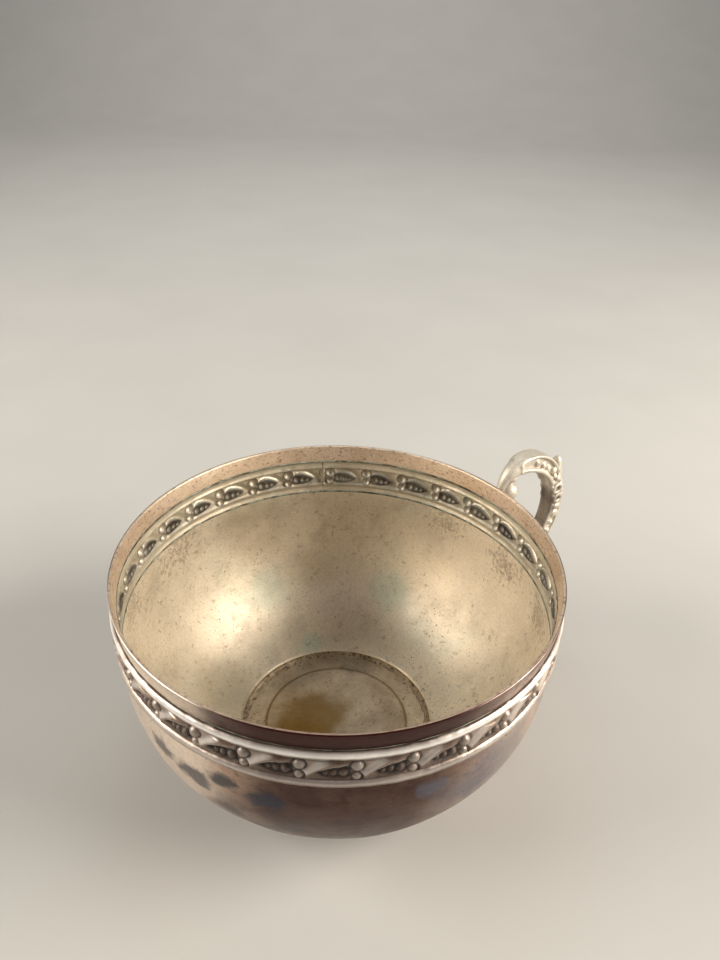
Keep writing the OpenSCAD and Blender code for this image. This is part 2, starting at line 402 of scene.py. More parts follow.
def grown(piece: Piece, tree: Tree, values: dict[str, Any]) -> Piece:
    """Runs a tree on a piece and bakes the result.

    Args:
        piece: The piece that carries the tree.
        tree: The Geometry Nodes tree.
        values: Input name to value, set by the socket's identifier.

    Returns:
        The baked piece.
    """
    nodes = piece.modifiers.new(tree.name, "NODES")
    nodes.node_group = tree
    for item in tree.interface.items_tree:
        if item.item_type == "SOCKET" and item.in_out == "INPUT" and item.name in values:
            nodes[item.identifier] = values[item.name]
    return baked(piece)


# Finishes


@dataclass(frozen=True)
class Film:
    """A film of tarnish on metal, in clouds of one size.

    Attributes:
        colour: Colour of the film.
        cloud: Size of its clouds in millimetres.
        cover: Share of the surface that it covers.
        edge: Softness of its edges.
        strength: How much of the metal's colour it hides.
        seed: Shifts the clouds.
        flat: How many times wider than high the clouds are.
    """

    colour: str
    cloud: float
    cover: float
    edge: float
    strength: float
    seed: float
    flat: float = 1.0


@dataclass(frozen=True)
class Spot:
    """A patch of colour at one place, used for stains and for painted light and shade.

    Attributes:
        colour: Colour of the patch.
        at: Its middle in millimetres.
        size: Its radius in millimetres.
        strength: How much of the metal's colour it hides.
        core: Share of the radius over which it has its full strength.
        flat: How many times wider than high it is.
        grain: Size of its ragged breaks, as a share of the radius.
        fray: How far those breaks push its edge, as a share of the radius.
    """

    colour: str
    at: tuple[float, float, float]
    size: float
    strength: float
    core: float = 0.35
    flat: float = 1.0
    grain: float = 0.6
    fray: float = 1.0


@dataclass(frozen=True)
class NickelSilver:
    """Old nickel silver: a warm grey metal under uneven brown, green and blue-grey tarnish.

    Attributes:
        name: Name of the material.
        clean: Colour of the bare metal.
        films: Films of tarnish, the lowest first; each finish has at least one.
        spots: Stains, and patches of painted light and shade, at set places.
        gloss: Roughness of the cleanest and of the dullest metal.
        grain: Size of the fine speckle in millimetres.
        spin: Spacing of the turning marks in millimetres, or 0. Real marks are about 0.1 mm
            apart, too fine for the render, so they are drawn coarser.
        pit: Spacing of the small dark pits in millimetres, or 0. The finest real pits are too
            fine for the render, so they are drawn coarser.
        pit_share: Share of the cells that hold a pit.
        pit_size: Largest radius where pits are few and where they crowd, as a share of the spacing.
        dirt_and_shade: Colour of the grime in the hollows and of painted shade on the border strip, or
            nothing.
        soil_and_shade: How thick that grime and painted shade lie, from 0 to 1.
        rubbing_and_highlight: Colour of the metal worn pale on the high parts and of painted highlights on
            the border strip, or nothing.
        rub_and_highlight: How pale the wear and the painted highlights are, from 0 to 1.
        bare: Share of bare metal; the rest is the matt skin of the tarnish.
        worn: Share of bare metal under the wear and painted highlights; scratches make the rest matt.
        dent: Height in millimetres of the soft unevenness of the surface.
        speckle: Darkest and lightest share of the colour in the fine speckle.
        patch: Size of the clean and dull patches in millimetres.
        wave: Size of the soft unevenness in millimetres.
        crowd: Size of the places where the pits crowd together, in millimetres.
        flux: Colour in the pits.
        heights: Height of the speckle, height of the turning marks and depth of the pits, in millimetres.
        caked: How much rougher, and how much less metallic, the metal is under the grime and painted shade.
    """

    name: str
    clean: str
    films: tuple[Film, ...]
    spots: tuple[Spot, ...] = ()
    gloss: tuple[float, float] = (0.3, 0.5)
    grain: float = 0.7
    spin: float = 0.0
    pit: float = 0.0
    pit_share: float = 0.3
    pit_size: tuple[float, float] = (0.1, 0.36)
    dirt_and_shade: Optional[str] = None
    soil_and_shade: float = 1.0
    rubbing_and_highlight: Optional[str] = None
    rub_and_highlight: float = 1.0
    bare: float = 0.85
    worn: float = 0.5
    dent: float = 0.05
    speckle: tuple[float, float] = (0.86, 1.1)
    patch: float = 9.0
    wave: float = 11.0
    crowd: float = 16.0
    flux: str = "#3A2C1E"
    heights: tuple[float, float, float] = (0.012, 0.015, 0.04)
    caked: tuple[float, float] = (0.3, 0.7)

    def material(self) -> Material:
        """Builds the material's nodes.

        Returns:
            The material.
        """
        made = bpy.data.materials.new(self.name)
        add = partial(add_node, bare_tree(made))
        place = add("ShaderNodeTexCoord", out="Object")
        colour = self._stains_and_painted_light(add, place, self._filmed(add, place))
        # Noise lies mostly between 0.3 and 0.7, so a mask is mapped from within that range
        size = per_mm(self.grain)
        grain = add("ShaderNodeTexNoise", {"Vector": place, "Scale": size, "Detail": 4.0, "Roughness": 0.65})
        shade = add("ShaderNodeMapRange", {0: grain, 1: 0.3, 2: 0.7, 3: self.speckle[0], 4: self.speckle[1]})
        colour = add("ShaderNodeVectorMath", {0: colour, "Scale": shade}, operation="SCALE")
        size = per_mm(self.patch)
        dull = add("ShaderNodeTexNoise", {"Vector": place, "Scale": size, "Detail": 5.0, "Roughness": 0.6})
        rough = add("ShaderNodeMapRange", {0: dull, 1: 0.32, 2: 0.68, 3: self.gloss[0], 4: self.gloss[1]})
        metal: Any = self.bare
        # Pale wear on the high parts, and on the border strip painted highlights, from the crest marks
        if self.rubbing_and_highlight:
            mask = self._mask(add, "crest", dull, 0.75 * self.rub_and_highlight, self.rub_and_highlight)
            colour = self._over(add, colour, self.rubbing_and_highlight, mask)
            gain = {0: mask, 1: self.worn - self.bare, 2: self.bare}
            metal = add("ShaderNodeMath", gain, operation="MULTIPLY_ADD")
        # Grime in the hollows, and on the border strip painted shade, from the hollow marks
        if self.dirt_and_shade:
            mask = self._mask(add, "hollow", dull, 0.8 * self.soil_and_shade, self.soil_and_shade)
            colour = self._over(add, colour, self.dirt_and_shade, mask)
            more = {"operation": "MULTIPLY_ADD", "use_clamp": True}
            rough = add("ShaderNodeMath", {0: mask, 1: self.caked[0], 2: rough}, **more)
            metal = add("ShaderNodeMath", {0: mask, 1: -self.caked[1], 2: metal}, **more)
        height = self._height(add, place, grain)
        if self.pit:
            hole = self._pits(add, place)
            colour = self._over(add, colour, self.flux, hole)
            sunk = {0: hole, 1: -self.heights[2], 2: height}
            height = add("ShaderNodeMath", sunk, operation="MULTIPLY_ADD")
        bump = add("ShaderNodeBump", {"Height": height, "Distance": MM, "Strength": 1.0})
        feeds = {"Base Color": colour, "Metallic": metal, "Roughness": rough, "Normal": bump}
        add("ShaderNodeOutputMaterial", {"Surface": add("ShaderNodeBsdfPrincipled", feeds)})
        return made

    @staticmethod
    def _over(add: Callable, under: Any, colour: str, mask: Any) -> Any:
        """Lays a colour over another by a mask and returns the mixed colour's socket."""
        return add("ShaderNodeMix", {0: mask, 6: under, 7: srgb(colour)}, out=2, data_type="RGBA")

    @staticmethod
    def _mask(add: Callable, name: str, dull: Any, least: float, most: float) -> Any:
        """Makes a mask of marks that are stored on the mesh.

        Args:
            add: Adds a node to the material.
            name: Name of the stored marks.
            dull: Patches that make the mask uneven.
            least: Its strength in the cleanest patches.
            most: Its strength in the dullest ones.

        Returns:
            The mask's socket.
        """
        marks = add("ShaderNodeAttribute", out="Fac", attribute_name=name)
        patchy = add("ShaderNodeMapRange", {0: dull, 1: 0.3, 2: 0.6, 3: least, 4: most})
        return add("ShaderNodeMath", {0: marks, 1: patchy}, operation="MULTIPLY")

    def _filmed(self, add: Callable, place: Any) -> Any:
        """Lays the films over the clean metal.

        Args:
            add: Adds a node to the material.
            place: Object coordinates.

        Returns:
            The colour's socket.
        """
        colour: Any = srgb(self.clean)
        for film in self.films:
            seeds = (film.seed, film.seed * 0.7, film.seed * 0.3)
            feeds = {0: place, 1: (1.0, 1.0, film.flat), 2: seeds}
            shifted = add("ShaderNodeVectorMath", feeds, operation="MULTIPLY_ADD")
            feeds = {"Vector": shifted, "Scale": per_mm(film.cloud), "Detail": 6.0}
            cloud = add("ShaderNodeTexNoise", {**feeds, "Roughness": 0.62, "Distortion": 0.4})
            middle = 0.5 + (0.5 - film.cover) * 0.5
            feeds = {0: cloud, 1: middle - film.edge, 2: middle + film.edge, 3: 0.0, 4: film.strength}
            mask = add("ShaderNodeMapRange", feeds, interpolation_type="SMOOTHSTEP")
            colour = self._over(add, colour, film.colour, mask)
        return colour

    def _stains_and_painted_light(self, add: Callable, place: Any, colour: Any) -> Any:
        """Lays the stains and the patches of painted light and shade over the films.

        Args:
            add: Adds a node to the material.
            place: Object coordinates.
            colour: Colour so far.

        Returns:
            The colour's socket.
        """
        for spot in self.spots:
            break_size, fray = spot.size * spot.grain, spot.size * spot.fray
            feeds = {"Vector": place, "Scale": per_mm(break_size), "Detail": 5.0}
            ragged = add("ShaderNodeTexNoise", feeds, out="Color")
            feeds = {0: ragged, 1: (fray * MM,) * 3, 2: place}
            nudge = add("ShaderNodeVectorMath", feeds, operation="MULTIPLY_ADD")
            press = (1.0, 1.0, spot.flat)
            middle = tuple(-(c + fray * 0.5) * MM * k for c, k in zip(spot.at, press))
            away = add("ShaderNodeVectorMath", {0: nudge, 1: press, 2: middle}, operation="MULTIPLY_ADD")
            apart = add("ShaderNodeVectorMath", {0: away}, out="Value", operation="LENGTH")
            feeds = {0: apart, 1: spot.size * MM, 2: spot.size * spot.core * MM, 3: 0.0, 4: spot.strength}
            mask = add("ShaderNodeMapRange", feeds, interpolation_type="SMOOTHSTEP")
            colour = self._over(add, colour, spot.colour, mask)
        return colour

    def _height(self, add: Callable, place: Any, grain: Any) -> Any:
        """Adds up the soft unevenness, the speckle and the turning marks.

        Args:
            add: Adds a node to the material.
            place: Object coordinates.
            grain: Fine speckle.

        Returns:
            The socket of the height in millimetres.
        """
        wave = add("ShaderNodeTexNoise", {"Vector": place, "Scale": per_mm(self.wave), "Detail": 2.0})
        height = add("ShaderNodeMath", {0: wave, 1: self.dent}, operation="MULTIPLY")
        height = add("ShaderNodeMath", {0: grain, 1: self.heights[0], 2: height}, operation="MULTIPLY_ADD")
        if not self.spin:
            return height
        reach = add("ShaderNodeVectorMath", {0: place, 1: (1.0, 1.0, 0.0)}, operation="MULTIPLY")
        radius = add("ShaderNodeVectorMath", {0: reach}, out="Value", operation="LENGTH")
        up = add("ShaderNodeSeparateXYZ", {"Vector": place}, out="Z")
        along = add("ShaderNodeMath", {0: radius, 1: up}, operation="SUBTRACT")
        feeds = {"W": along, "Scale": per_mm(self.spin), "Detail": 3.0, "Roughness": 0.7}
        marks = add("ShaderNodeTexNoise", feeds, noise_dimensions="1D")
        return add("ShaderNodeMath", {0: marks, 1: self.heights[1], 2: height}, operation="MULTIPLY_ADD")

    def _pits(self, add: Callable, place: Any) -> Any:
        """Draws the pits, crowded in places.

        Args:
            add: Adds a node to the material.
            place: Object coordinates.

        Returns:
            The socket of their mask.
        """
        cells = {"Vector": place, "Scale": per_mm(self.pit), "Randomness": 1.0}
        apart = add("ShaderNodeTexVoronoi", cells, out="Distance")
        chance = add("ShaderNodeSeparateColor", {"Color": apart.node.outputs["Color"]}, out="Red")
        crowd = add("ShaderNodeTexNoise", {"Vector": place, "Scale": per_mm(self.crowd), "Detail": 3.0})
        few, many = self.pit_size
        most = add("ShaderNodeMapRange", {0: crowd, 1: 0.42, 2: 0.62, 3: few, 4: many})
        size = add("ShaderNodeMapRange", {0: chance, 1: 1 - self.pit_share, 2: 1.0, 3: 0.0, 4: most})
        inside = add("ShaderNodeMath", {0: size, 1: apart}, operation="SUBTRACT")
        return add("ShaderNodeMapRange", {0: inside, 1: 0.0, 2: 0.1, 3: 0.0, 4: 0.8})


@dataclass(frozen=True)
class PaleFloor:
    """Matt pale paper on a studio table, which gives the eye a quiet, even ground.

    Attributes:
        name: Name of the material.
        light: Its lightest colour.
        dark: Its darkest colour.
        mottle: Size of its soft mottling in millimetres.
    """

    name: str = "Pale studio paper"
    light: str = "#B4B1AB"
    dark: str = "#B0ADA7"
    mottle: float = 60.0

    def material(self) -> Material:
        """Builds the material's nodes.

        Returns:
            The material.
        """
        made = bpy.data.materials.new(self.name)
        add = partial(add_node, bare_tree(made))
        place = add("ShaderNodeTexCoord", out="Object")
        mottle = add("ShaderNodeTexNoise", {"Vector": place, "Scale": per_mm(self.mottle), "Detail": 4.0})
        colour = add("ShaderNodeValToRGB", {"Fac": mottle}, stops=((0.3, self.dark), (0.7, self.light)))
        shader = add("ShaderNodeBsdfPrincipled", {"Base Color": colour, "Roughness": 0.85})
        add("ShaderNodeOutputMaterial", {"Surface": shader})
        return made


# A satin cream skin that takes soft reflections, with turning marks, green blooms and brown specks
SPUN_INSIDE = NickelSilver(
    "Spun nickel silver, cream tan inside",
    "#E2D3BA",
    (
        Film("#C6B8A2", 30, 0.5, 0.16, 0.6, 0.11),
        Film("#B0B4A4", 34, 0.34, 0.14, 0.5, 0.37),
        Film("#A3937A", 8, 0.3, 0.12, 0.35, 0.53),
        Film("#8A7658", 1.6, 0.24, 0.06, 0.5, 0.71),
        Film("#6E573A", 0.9, 0.16, 0.05, 0.5, 0.91),
    ),
    (
        Spot("#9DBDAA", (5.1, 40.9, 14.3), 9, 0.25),
        Spot("#9DBDAA", (34.3, 21.8, 13.6), 8, 0.25),
        Spot("#97C0AE", (9.0, 25.1, 3.0), 5, 0.3),
        Spot("#9C8158", (20.0, 40.0, 16.0), 9, 0.25),
        Spot("#8C7148", (4.0, 46.0, 34.0), 14, 0.25),
        Spot("#7E6A45", (-18.0, 22.0, 5.0), 14, 0.35),
        # Painted light: a pale pool on the upper right wall, where the left lamp lights it
        Spot("#F8E8CE", (47, -2, 37), 27, 0.65),
        Spot("#6E5030", (46, -8, 36), 9, 0.6, 0.0, 1.5, 0.12, 3.0),
        Spot("#6E5030", (40, -26, 35), 8, 0.55, 0.0, 1.5, 0.12, 3.0),
        Spot("#6E5030", (46, 14, 38), 8, 0.5, 0.0, 1.8, 0.12, 3.0),
        Spot("#6E5030", (-20, 44, 38), 12, 0.55, 0.0, 2.0, 0.1, 3.0),
        Spot("#6E5030", (-38, 30, 37), 10, 0.5, 0.0, 2.0, 0.1, 3.0),
    ),
    gloss=(0.44, 0.57), grain=0.5, spin=0.5, pit=0.65, pit_share=0.7, bare=0.68,
)
# A darker, glossier skin, mottled plum brown and blue grey, which breaks up the reflections, with painted
# light on its sides and painted shade in front
SPUN_OUTSIDE = NickelSilver(
    "Spun nickel silver, brown tarnish outside",
    "#C2A58E",
    (
        Film("#94735E", 18, 0.5, 0.14, 0.75, 0.19, 1.6),
        Film("#4A4A54", 9, 0.4, 0.09, 0.6, 0.43, 1.6),
        Film("#4E362B", 5, 0.3, 0.07, 0.6, 0.67, 1.6),
        Film("#A08C84", 2.5, 0.26, 0.08, 0.4, 0.83, 1.6),
    ),
    (
        # Painted light: pale pools on the left of the belly and on its front right, where the side lamps
        # light it
        Spot("#FBE8D4", (-48, -8, 34), 24, 0.85),
        Spot("#D8C6B8", (12, -46, 34), 18, 0.6),
        # Painted shade: a dark plum patch over the front, where the belly reflects the dark room
        Spot("#35130A", (-26, -40, 29), 33, 0.88),
        Spot("#3A3B47", (-48, -8.5, 34), 5, 0.75, 0.45, 1.6),
        Spot("#30323F", (-46, -17, 32.5), 6, 0.8, 0.45, 1.6),
        Spot("#30323F", (-43, -24, 36), 4.5, 0.85, 0.45, 1.7),
        Spot("#30323F", (-38, -31, 34), 5.5, 0.85, 0.45, 1.7),
        Spot("#33333C", (-40, -22, 25), 6, 0.7, 0.4, 1.5),
        Spot("#33333C", (-33, -32, 24), 5, 0.6, 0.4, 1.5),
        Spot("#5E616E", (-12, -47.5, 36), 5, 0.75, 0.4, 1.5),
        Spot("#85828A", (1, -47, 31), 15, 0.6),
    ),
    gloss=(0.3, 0.44), spin=0.6, pit=1.4, bare=0.75, dent=0.12,
)
# A pinkish tan skin with close dark specks, duller than the rim
LIP_INSIDE = NickelSilver(
    "Nickel silver lip, pinkish tan inside",
    "#DCC6AE",
    (Film("#BFA388", 14, 0.5, 0.15, 0.7, 0.23), Film("#7A6050", 1.1, 0.3, 0.06, 0.7, 0.59, 2.0)),
    # Painted shade: a darker patch on the front of the rim's top edge, which dims its highlight
    (Spot("#7A5A4C", (-30, -39, 57), 30, 0.6),),
    gloss=(0.38, 0.5), pit=0.5, pit_share=0.65, bare=0.72,
)
# A plum brown band, darkened in front by painted shade, that turns to a painted highlight at the left
LIP_OUTSIDE = NickelSilver(
    "Nickel silver lip, plum tarnish outside",
    "#B8A296",
    (Film("#84695F", 16, 0.55, 0.14, 0.8, 0.31), Film("#3E241C", 4, 0.34, 0.09, 0.6, 0.13, 3.0)),
    # Painted shade over the front, where the lip reflects the dark room, and a painted highlight at the
    # left, where the left lamp lights it
    (Spot("#360A02", (-30, -39, 52), 38, 0.94), Spot("#FAE8D4", (-49, 0, 52), 30, 0.9)),
    gloss=(0.3, 0.42), pit=1.2, pit_share=0.25,
)
# Near-black grime and painted shade in the work, pale wear and painted highlights on the crests, so that the
# relief reads from afar
ROLLED = NickelSilver(
    "Rolled nickel silver, rubbed on the crests",
    "#AE9886",
    (Film("#856F61", 10, 0.5, 0.14, 0.75, 0.29), Film("#5A4A47", 3.5, 0.28, 0.08, 0.5, 0.61)),
    # Painted shade over the front of the band, where it reflects the dark room
    (Spot("#523F36", (-29, -38, 45), 34, 0.5),),
    gloss=(0.3, 0.42), dirt_and_shade="#1E110B", rubbing_and_highlight="#FBF6EE", bare=0.7, worn=0.15, dent=0.02,
)
# A soft khaki skin with green blooms and dark lines in the dents of the reverse, carrying the strip's
# painted shade and painted highlights
ROLLED_BACK = NickelSilver(
    "Rolled nickel silver, khaki reverse",
    "#CCC0AA",
    (Film("#A99C84", 9, 0.45, 0.14, 0.7, 0.41), Film("#A9B09C", 6, 0.3, 0.1, 0.5, 0.77)),
    gloss=(0.38, 0.5), dirt_and_shade="#241A10", rubbing_and_highlight="#E2DAC6", rub_and_highlight=0.55, bare=0.7, dent=0.02,
)
# A dull ochre floor with an olive stain off its middle
FLOOR_DISC = NickelSilver(
    "Nickel silver base, stained ochre",
    "#B5A38A",
    (
        Film("#8C7A62", 11, 0.5, 0.14, 0.7, 0.17),
        Film("#77705F", 16, 0.35, 0.12, 0.5, 0.47),
        Film("#5C4A32", 1.4, 0.24, 0.07, 0.55, 0.83),
    ),
    (Spot("#6E5014", (-5, 5, 1.9), 14, 0.85), Spot("#6E5014", (-12, -2, 1.9), 12, 0.85)),
    gloss=(0.42, 0.56), pit=0.9, pit_share=0.5, bare=0.72,
)
# A pale, nearly matt casting with soft grey hollows, the lightest part of the cup
CAST = NickelSilver(
    "Cast nickel silver, cream grey",
    "#CFC5B4",
    (Film("#B3A896", 6, 0.45, 0.15, 0.6, 0.21), Film("#90867C", 2.4, 0.24, 0.08, 0.5, 0.57)),
    # Painted shade on the inner face of the handle's leg
    (Spot("#3E2C1E", (65.5, 0, 44), 9, 0.8),),
    gloss=(0.46, 0.58), dirt_and_shade="#7A6858", soil_and_shade=0.5, rubbing_and_highlight="#F0E8D8", rub_and_highlight=0.4, bare=0.5, dent=0.02,
)
# A dull dark line with grey-green patches, which draws the edge of the band inside
SEAM_SOLDER = NickelSilver(
    "Hard solder, dark with verdigris",
    "#6A604A",
    (Film("#352D20", 4, 0.45, 0.12, 0.85, 0.33), Film("#A7AE9C", 4, 0.52, 0.1, 0.75, 0.73)),
    gloss=(0.5, 0.7), bare=0.5,
)
# A thin brown line under each bead
SEAM_OUTSIDE = NickelSilver(
    "Hard solder, brown",
    "#5A4A40",
    (Film("#33261F", 4, 0.5, 0.12, 0.9, 0.33),),
    gloss=(0.4, 0.6), bare=0.5,
)
# A filed line close to the strip's own colour, which hardly shows
FLUSH_SOLDER = NickelSilver(
    "Hard solder, filed flush", "#A39480", (Film("#7A6B5A", 3, 0.5, 0.12, 0.8, 0.45),), gloss=(0.35, 0.5)
)
# A tan ring broken by dark specks and pits
PITTED_SOLDER = NickelSilver(
    "Pitted solder with dark flux",
    "#B3A085",
    (Film("#7C6A50", 4, 0.5, 0.12, 0.7, 0.27), Film("#33271B", 0.9, 0.36, 0.06, 0.8, 0.63)),
    gloss=(0.45, 0.6), pit=0.7, pit_share=0.7, bare=0.72,
)
# A dull grey run beside the pale casting
HANDLE_SOLDER = NickelSilver(
    "Hard solder, dull grey", "#A79E8A", (Film("#7B705E", 2, 0.5, 0.12, 0.8, 0.39),), gloss=(0.45, 0.6)
)


# Pieces


@dataclass(frozen=True)
class CupSizes:
    """Sizes that several pieces share, as the solids have them.

    Attributes:
        rim_r: Outer radius of the rim.
        height: Height of the rim.
        wall: Thickness of the sheet.
        face_r: Outer radius of the straight wall.
        lip_z: Height of the lip's lower edge.
        strip_top: Height of the strip's upper edge.
        strip_low: Height of the strip's lower edge.
        bowl_top: Height of the bowl's upper edge.
        belly_z: Height where the straight wall turns into the belly.
        foot_r: Outer radius of the foot.
        foot_h: Height of the foot.
        segments: Steps round the axis of a turned piece.
    """

    rim_r: float = 50.0
    height: float = 55.0
    wall: float = 0.8
    face_r: float = 49.4
    lip_z: float = 50.7
    strip_top: float = 50.55
    strip_low: float = 40.85
    bowl_top: float = 40.7
    belly_z: float = 36.2
    foot_r: float = 25.0
    foot_h: float = 1.6
    segments: int = 320

    @property
    def inner_r(self) -> float:
        """Inner radius of the straight wall."""
        return self.face_r - self.wall

    @property
    def foot_in_r(self) -> float:
        """Inner radius of the foot."""
        return self.foot_r - self.wall

    @property
    def arc_x(self) -> float:
        """Distance from the axis to the middle of the belly's arc."""
        drop = self.belly_z - self.foot_h
        return (self.face_r ** 2 - self.foot_r ** 2 - drop ** 2) / (2 * (self.face_r - self.foot_r))

    @property
    def arc_r(self) -> float:
        """Radius of the belly's arc."""
        return self.face_r - self.arc_x

    def outer_at(self, z: Array) -> Array:
        """Finds the cup's outside, without its beads.

        Args:
            z: Heights.

        Returns:
            Outer radius at each height.
        """
        down = np.clip(self.belly_z - z, 0, self.belly_z - self.foot_h)
        belly = self.arc_x + np.sqrt(self.arc_r ** 2 - down ** 2)
        lip = self.face_r + (self.rim_r - self.face_r) * (z - self.lip_z) / (self.height - self.lip_z)
        return np.where(z > self.lip_z, lip, belly)


@dataclass
class Lip:
    """The plain lip above the border.

    Attributes:
        cup: Shared sizes.
        edge: Radius of the worn edges.
    """

    cup: CupSizes
    edge: float = 0.28

    def build(self) -> Piece:
        """Turns the lip.

        Returns:
            The lip.
        """
        c = self.cup
        top = [(c.rim_r, c.height), (c.rim_r - c.wall, c.height)]
        loop = rounded([(c.inner_r, c.lip_z), (c.face_r, c.lip_z), *top], self.edge, 5)
        lean = (c.rim_r - c.face_r) / (c.height - c.lip_z)
        middle = c.face_r - c.wall / 2 - lean * c.lip_z
        return turned("cup_lip", loop, c.segments, lambda mid: mid[:, 0] > middle + lean * mid[:, 1])

    def dress(self, piece: Piece) -> None:
        """Gives the lip its two faces' finishes."""
        dress(piece, "lip_collar", Slot.LIP, LIP_OUTSIDE.material(), LIP_INSIDE.material())


@dataclass
class Bowl:
    """The spun bowl with its straight wall, belly and foot.

    Attributes:
        cup: Shared sizes.
        dents: Direction in degrees, height, radius and depth of each old dent.
        foot_edge: Radius of the foot's worn edges.
        edge: Size of the worn upper edge.
        drops: Depths below the upper edge of the points along the straight wall.
        steps: Points along each face of the belly.
        dent_low: Height below which the dents fade out.
        dent_top: Heights between which they fade out above.
    """

    cup: CupSizes
    dents: tuple[tuple[float, float, float, float], ...] = (
        (-150, 20, 7, 0.22),
        (-128, 13, 6, 0.18),
        (-101, 24, 8, 0.2),
        (-83, 14, 7, 0.2),
        (-58, 26, 7, 0.16),
        (20, 18, 8, 0.15),
        (75, 28, 8, 0.18),
        (140, 16, 7, 0.2),
        (178, 29, 6, 0.15),
    )
    foot_edge: float = 0.3
    edge: float = 0.04
    drops: tuple[float, ...] = (2.2, 0.12, 0.04)
    steps: int = 49
    dent_low: float = 8.0
    dent_top: tuple[float, float] = (33.0, 39.0)

    def _section(self) -> Array:
        """Draws the bowl's section, from the foot up the outside and down the inside.

        Returns:
            A closed loop of points as (radius, height).
        """
        c = self.cup
        thin_r = c.arc_r - c.wall
        swing = math.asin((c.belly_z - c.foot_h) / c.arc_r) * np.linspace(0, 1, self.steps)[::-1]
        back = math.acos((c.foot_in_r - c.arc_x) / thin_r) * np.linspace(0, 1, self.steps)
        outer = np.stack([c.arc_x + c.arc_r * np.cos(swing), c.belly_z - c.arc_r * np.sin(swing)], axis=-1)
        inner = np.stack([c.arc_x + thin_r * np.cos(back), c.belly_z - thin_r * np.sin(back)], axis=-1)
        low, high = [(c.foot_in_r, 0), (c.foot_r, 0)], [(c.foot_r, c.foot_h), (c.foot_in_r, c.foot_h)]
        foot = rounded(low + high, self.foot_edge, 3)
        foot = foot[foot[:, 1] < c.foot_h - self.foot_edge]
        top = [(c.face_r, c.bowl_top - d) for d in self.drops]
        top += [(c.face_r - self.edge, c.bowl_top), (c.inner_r + self.edge, c.bowl_top)]
        top += [(c.inner_r, c.bowl_top - d) for d in self.drops[::-1]]
        return np.concatenate([foot, outer, top, inner])

    def _dented(self, points: Array) -> Array:
        """Pushes the old dents into the wall.

        Args:
            points: Points of the bowl.

        Returns:
            The moved points.
        """
        angle, radius = polar(points)
        up = points[:, 2]
        push = np.zeros(len(points))
        for direction, z, size, depth in self.dents:
            turn = (angle - math.radians(direction) + math.pi) % (2 * math.pi) - math.pi
            push += depth * bell(np.hypot(turn * radius, up - z), size)
        push *= smooth(self.cup.foot_h, self.dent_low, up) * (1 - smooth(*self.dent_top, up))
        return at_radius(points, radius - push)

    def build(self) -> Piece:
        """Turns the bowl.

        Returns:
            The bowl.
        """
        c = self.cup

        def outer(mid: Array) -> Array:
            """Tells the two sides of the sheet apart.

            Args:
                mid: Middles of the section's sides.

            Returns:
                Whether each faces outside.
            """
            r, z = mid[:, 0], mid[:, 1]
            wall = np.where(z > c.foot_h, c.outer_at(z) - c.wall / 2, c.foot_in_r + 0.1)
            belly = np.hypot(r - c.arc_x, z - c.belly_z) > c.arc_r - c.wall / 2
            return np.where((z > c.foot_h + 0.15) & (z < c.belly_z), belly, r > wall)

        return turned("cup_bowl", self._section(), c.segments, outer, self._dented)

    def dress(self, piece: Piece) -> None:
        """Gives the bowl its two faces' finishes."""
        dress(piece, "bowl", Slot.BOWL, SPUN_OUTSIDE.material(), SPUN_INSIDE.material())


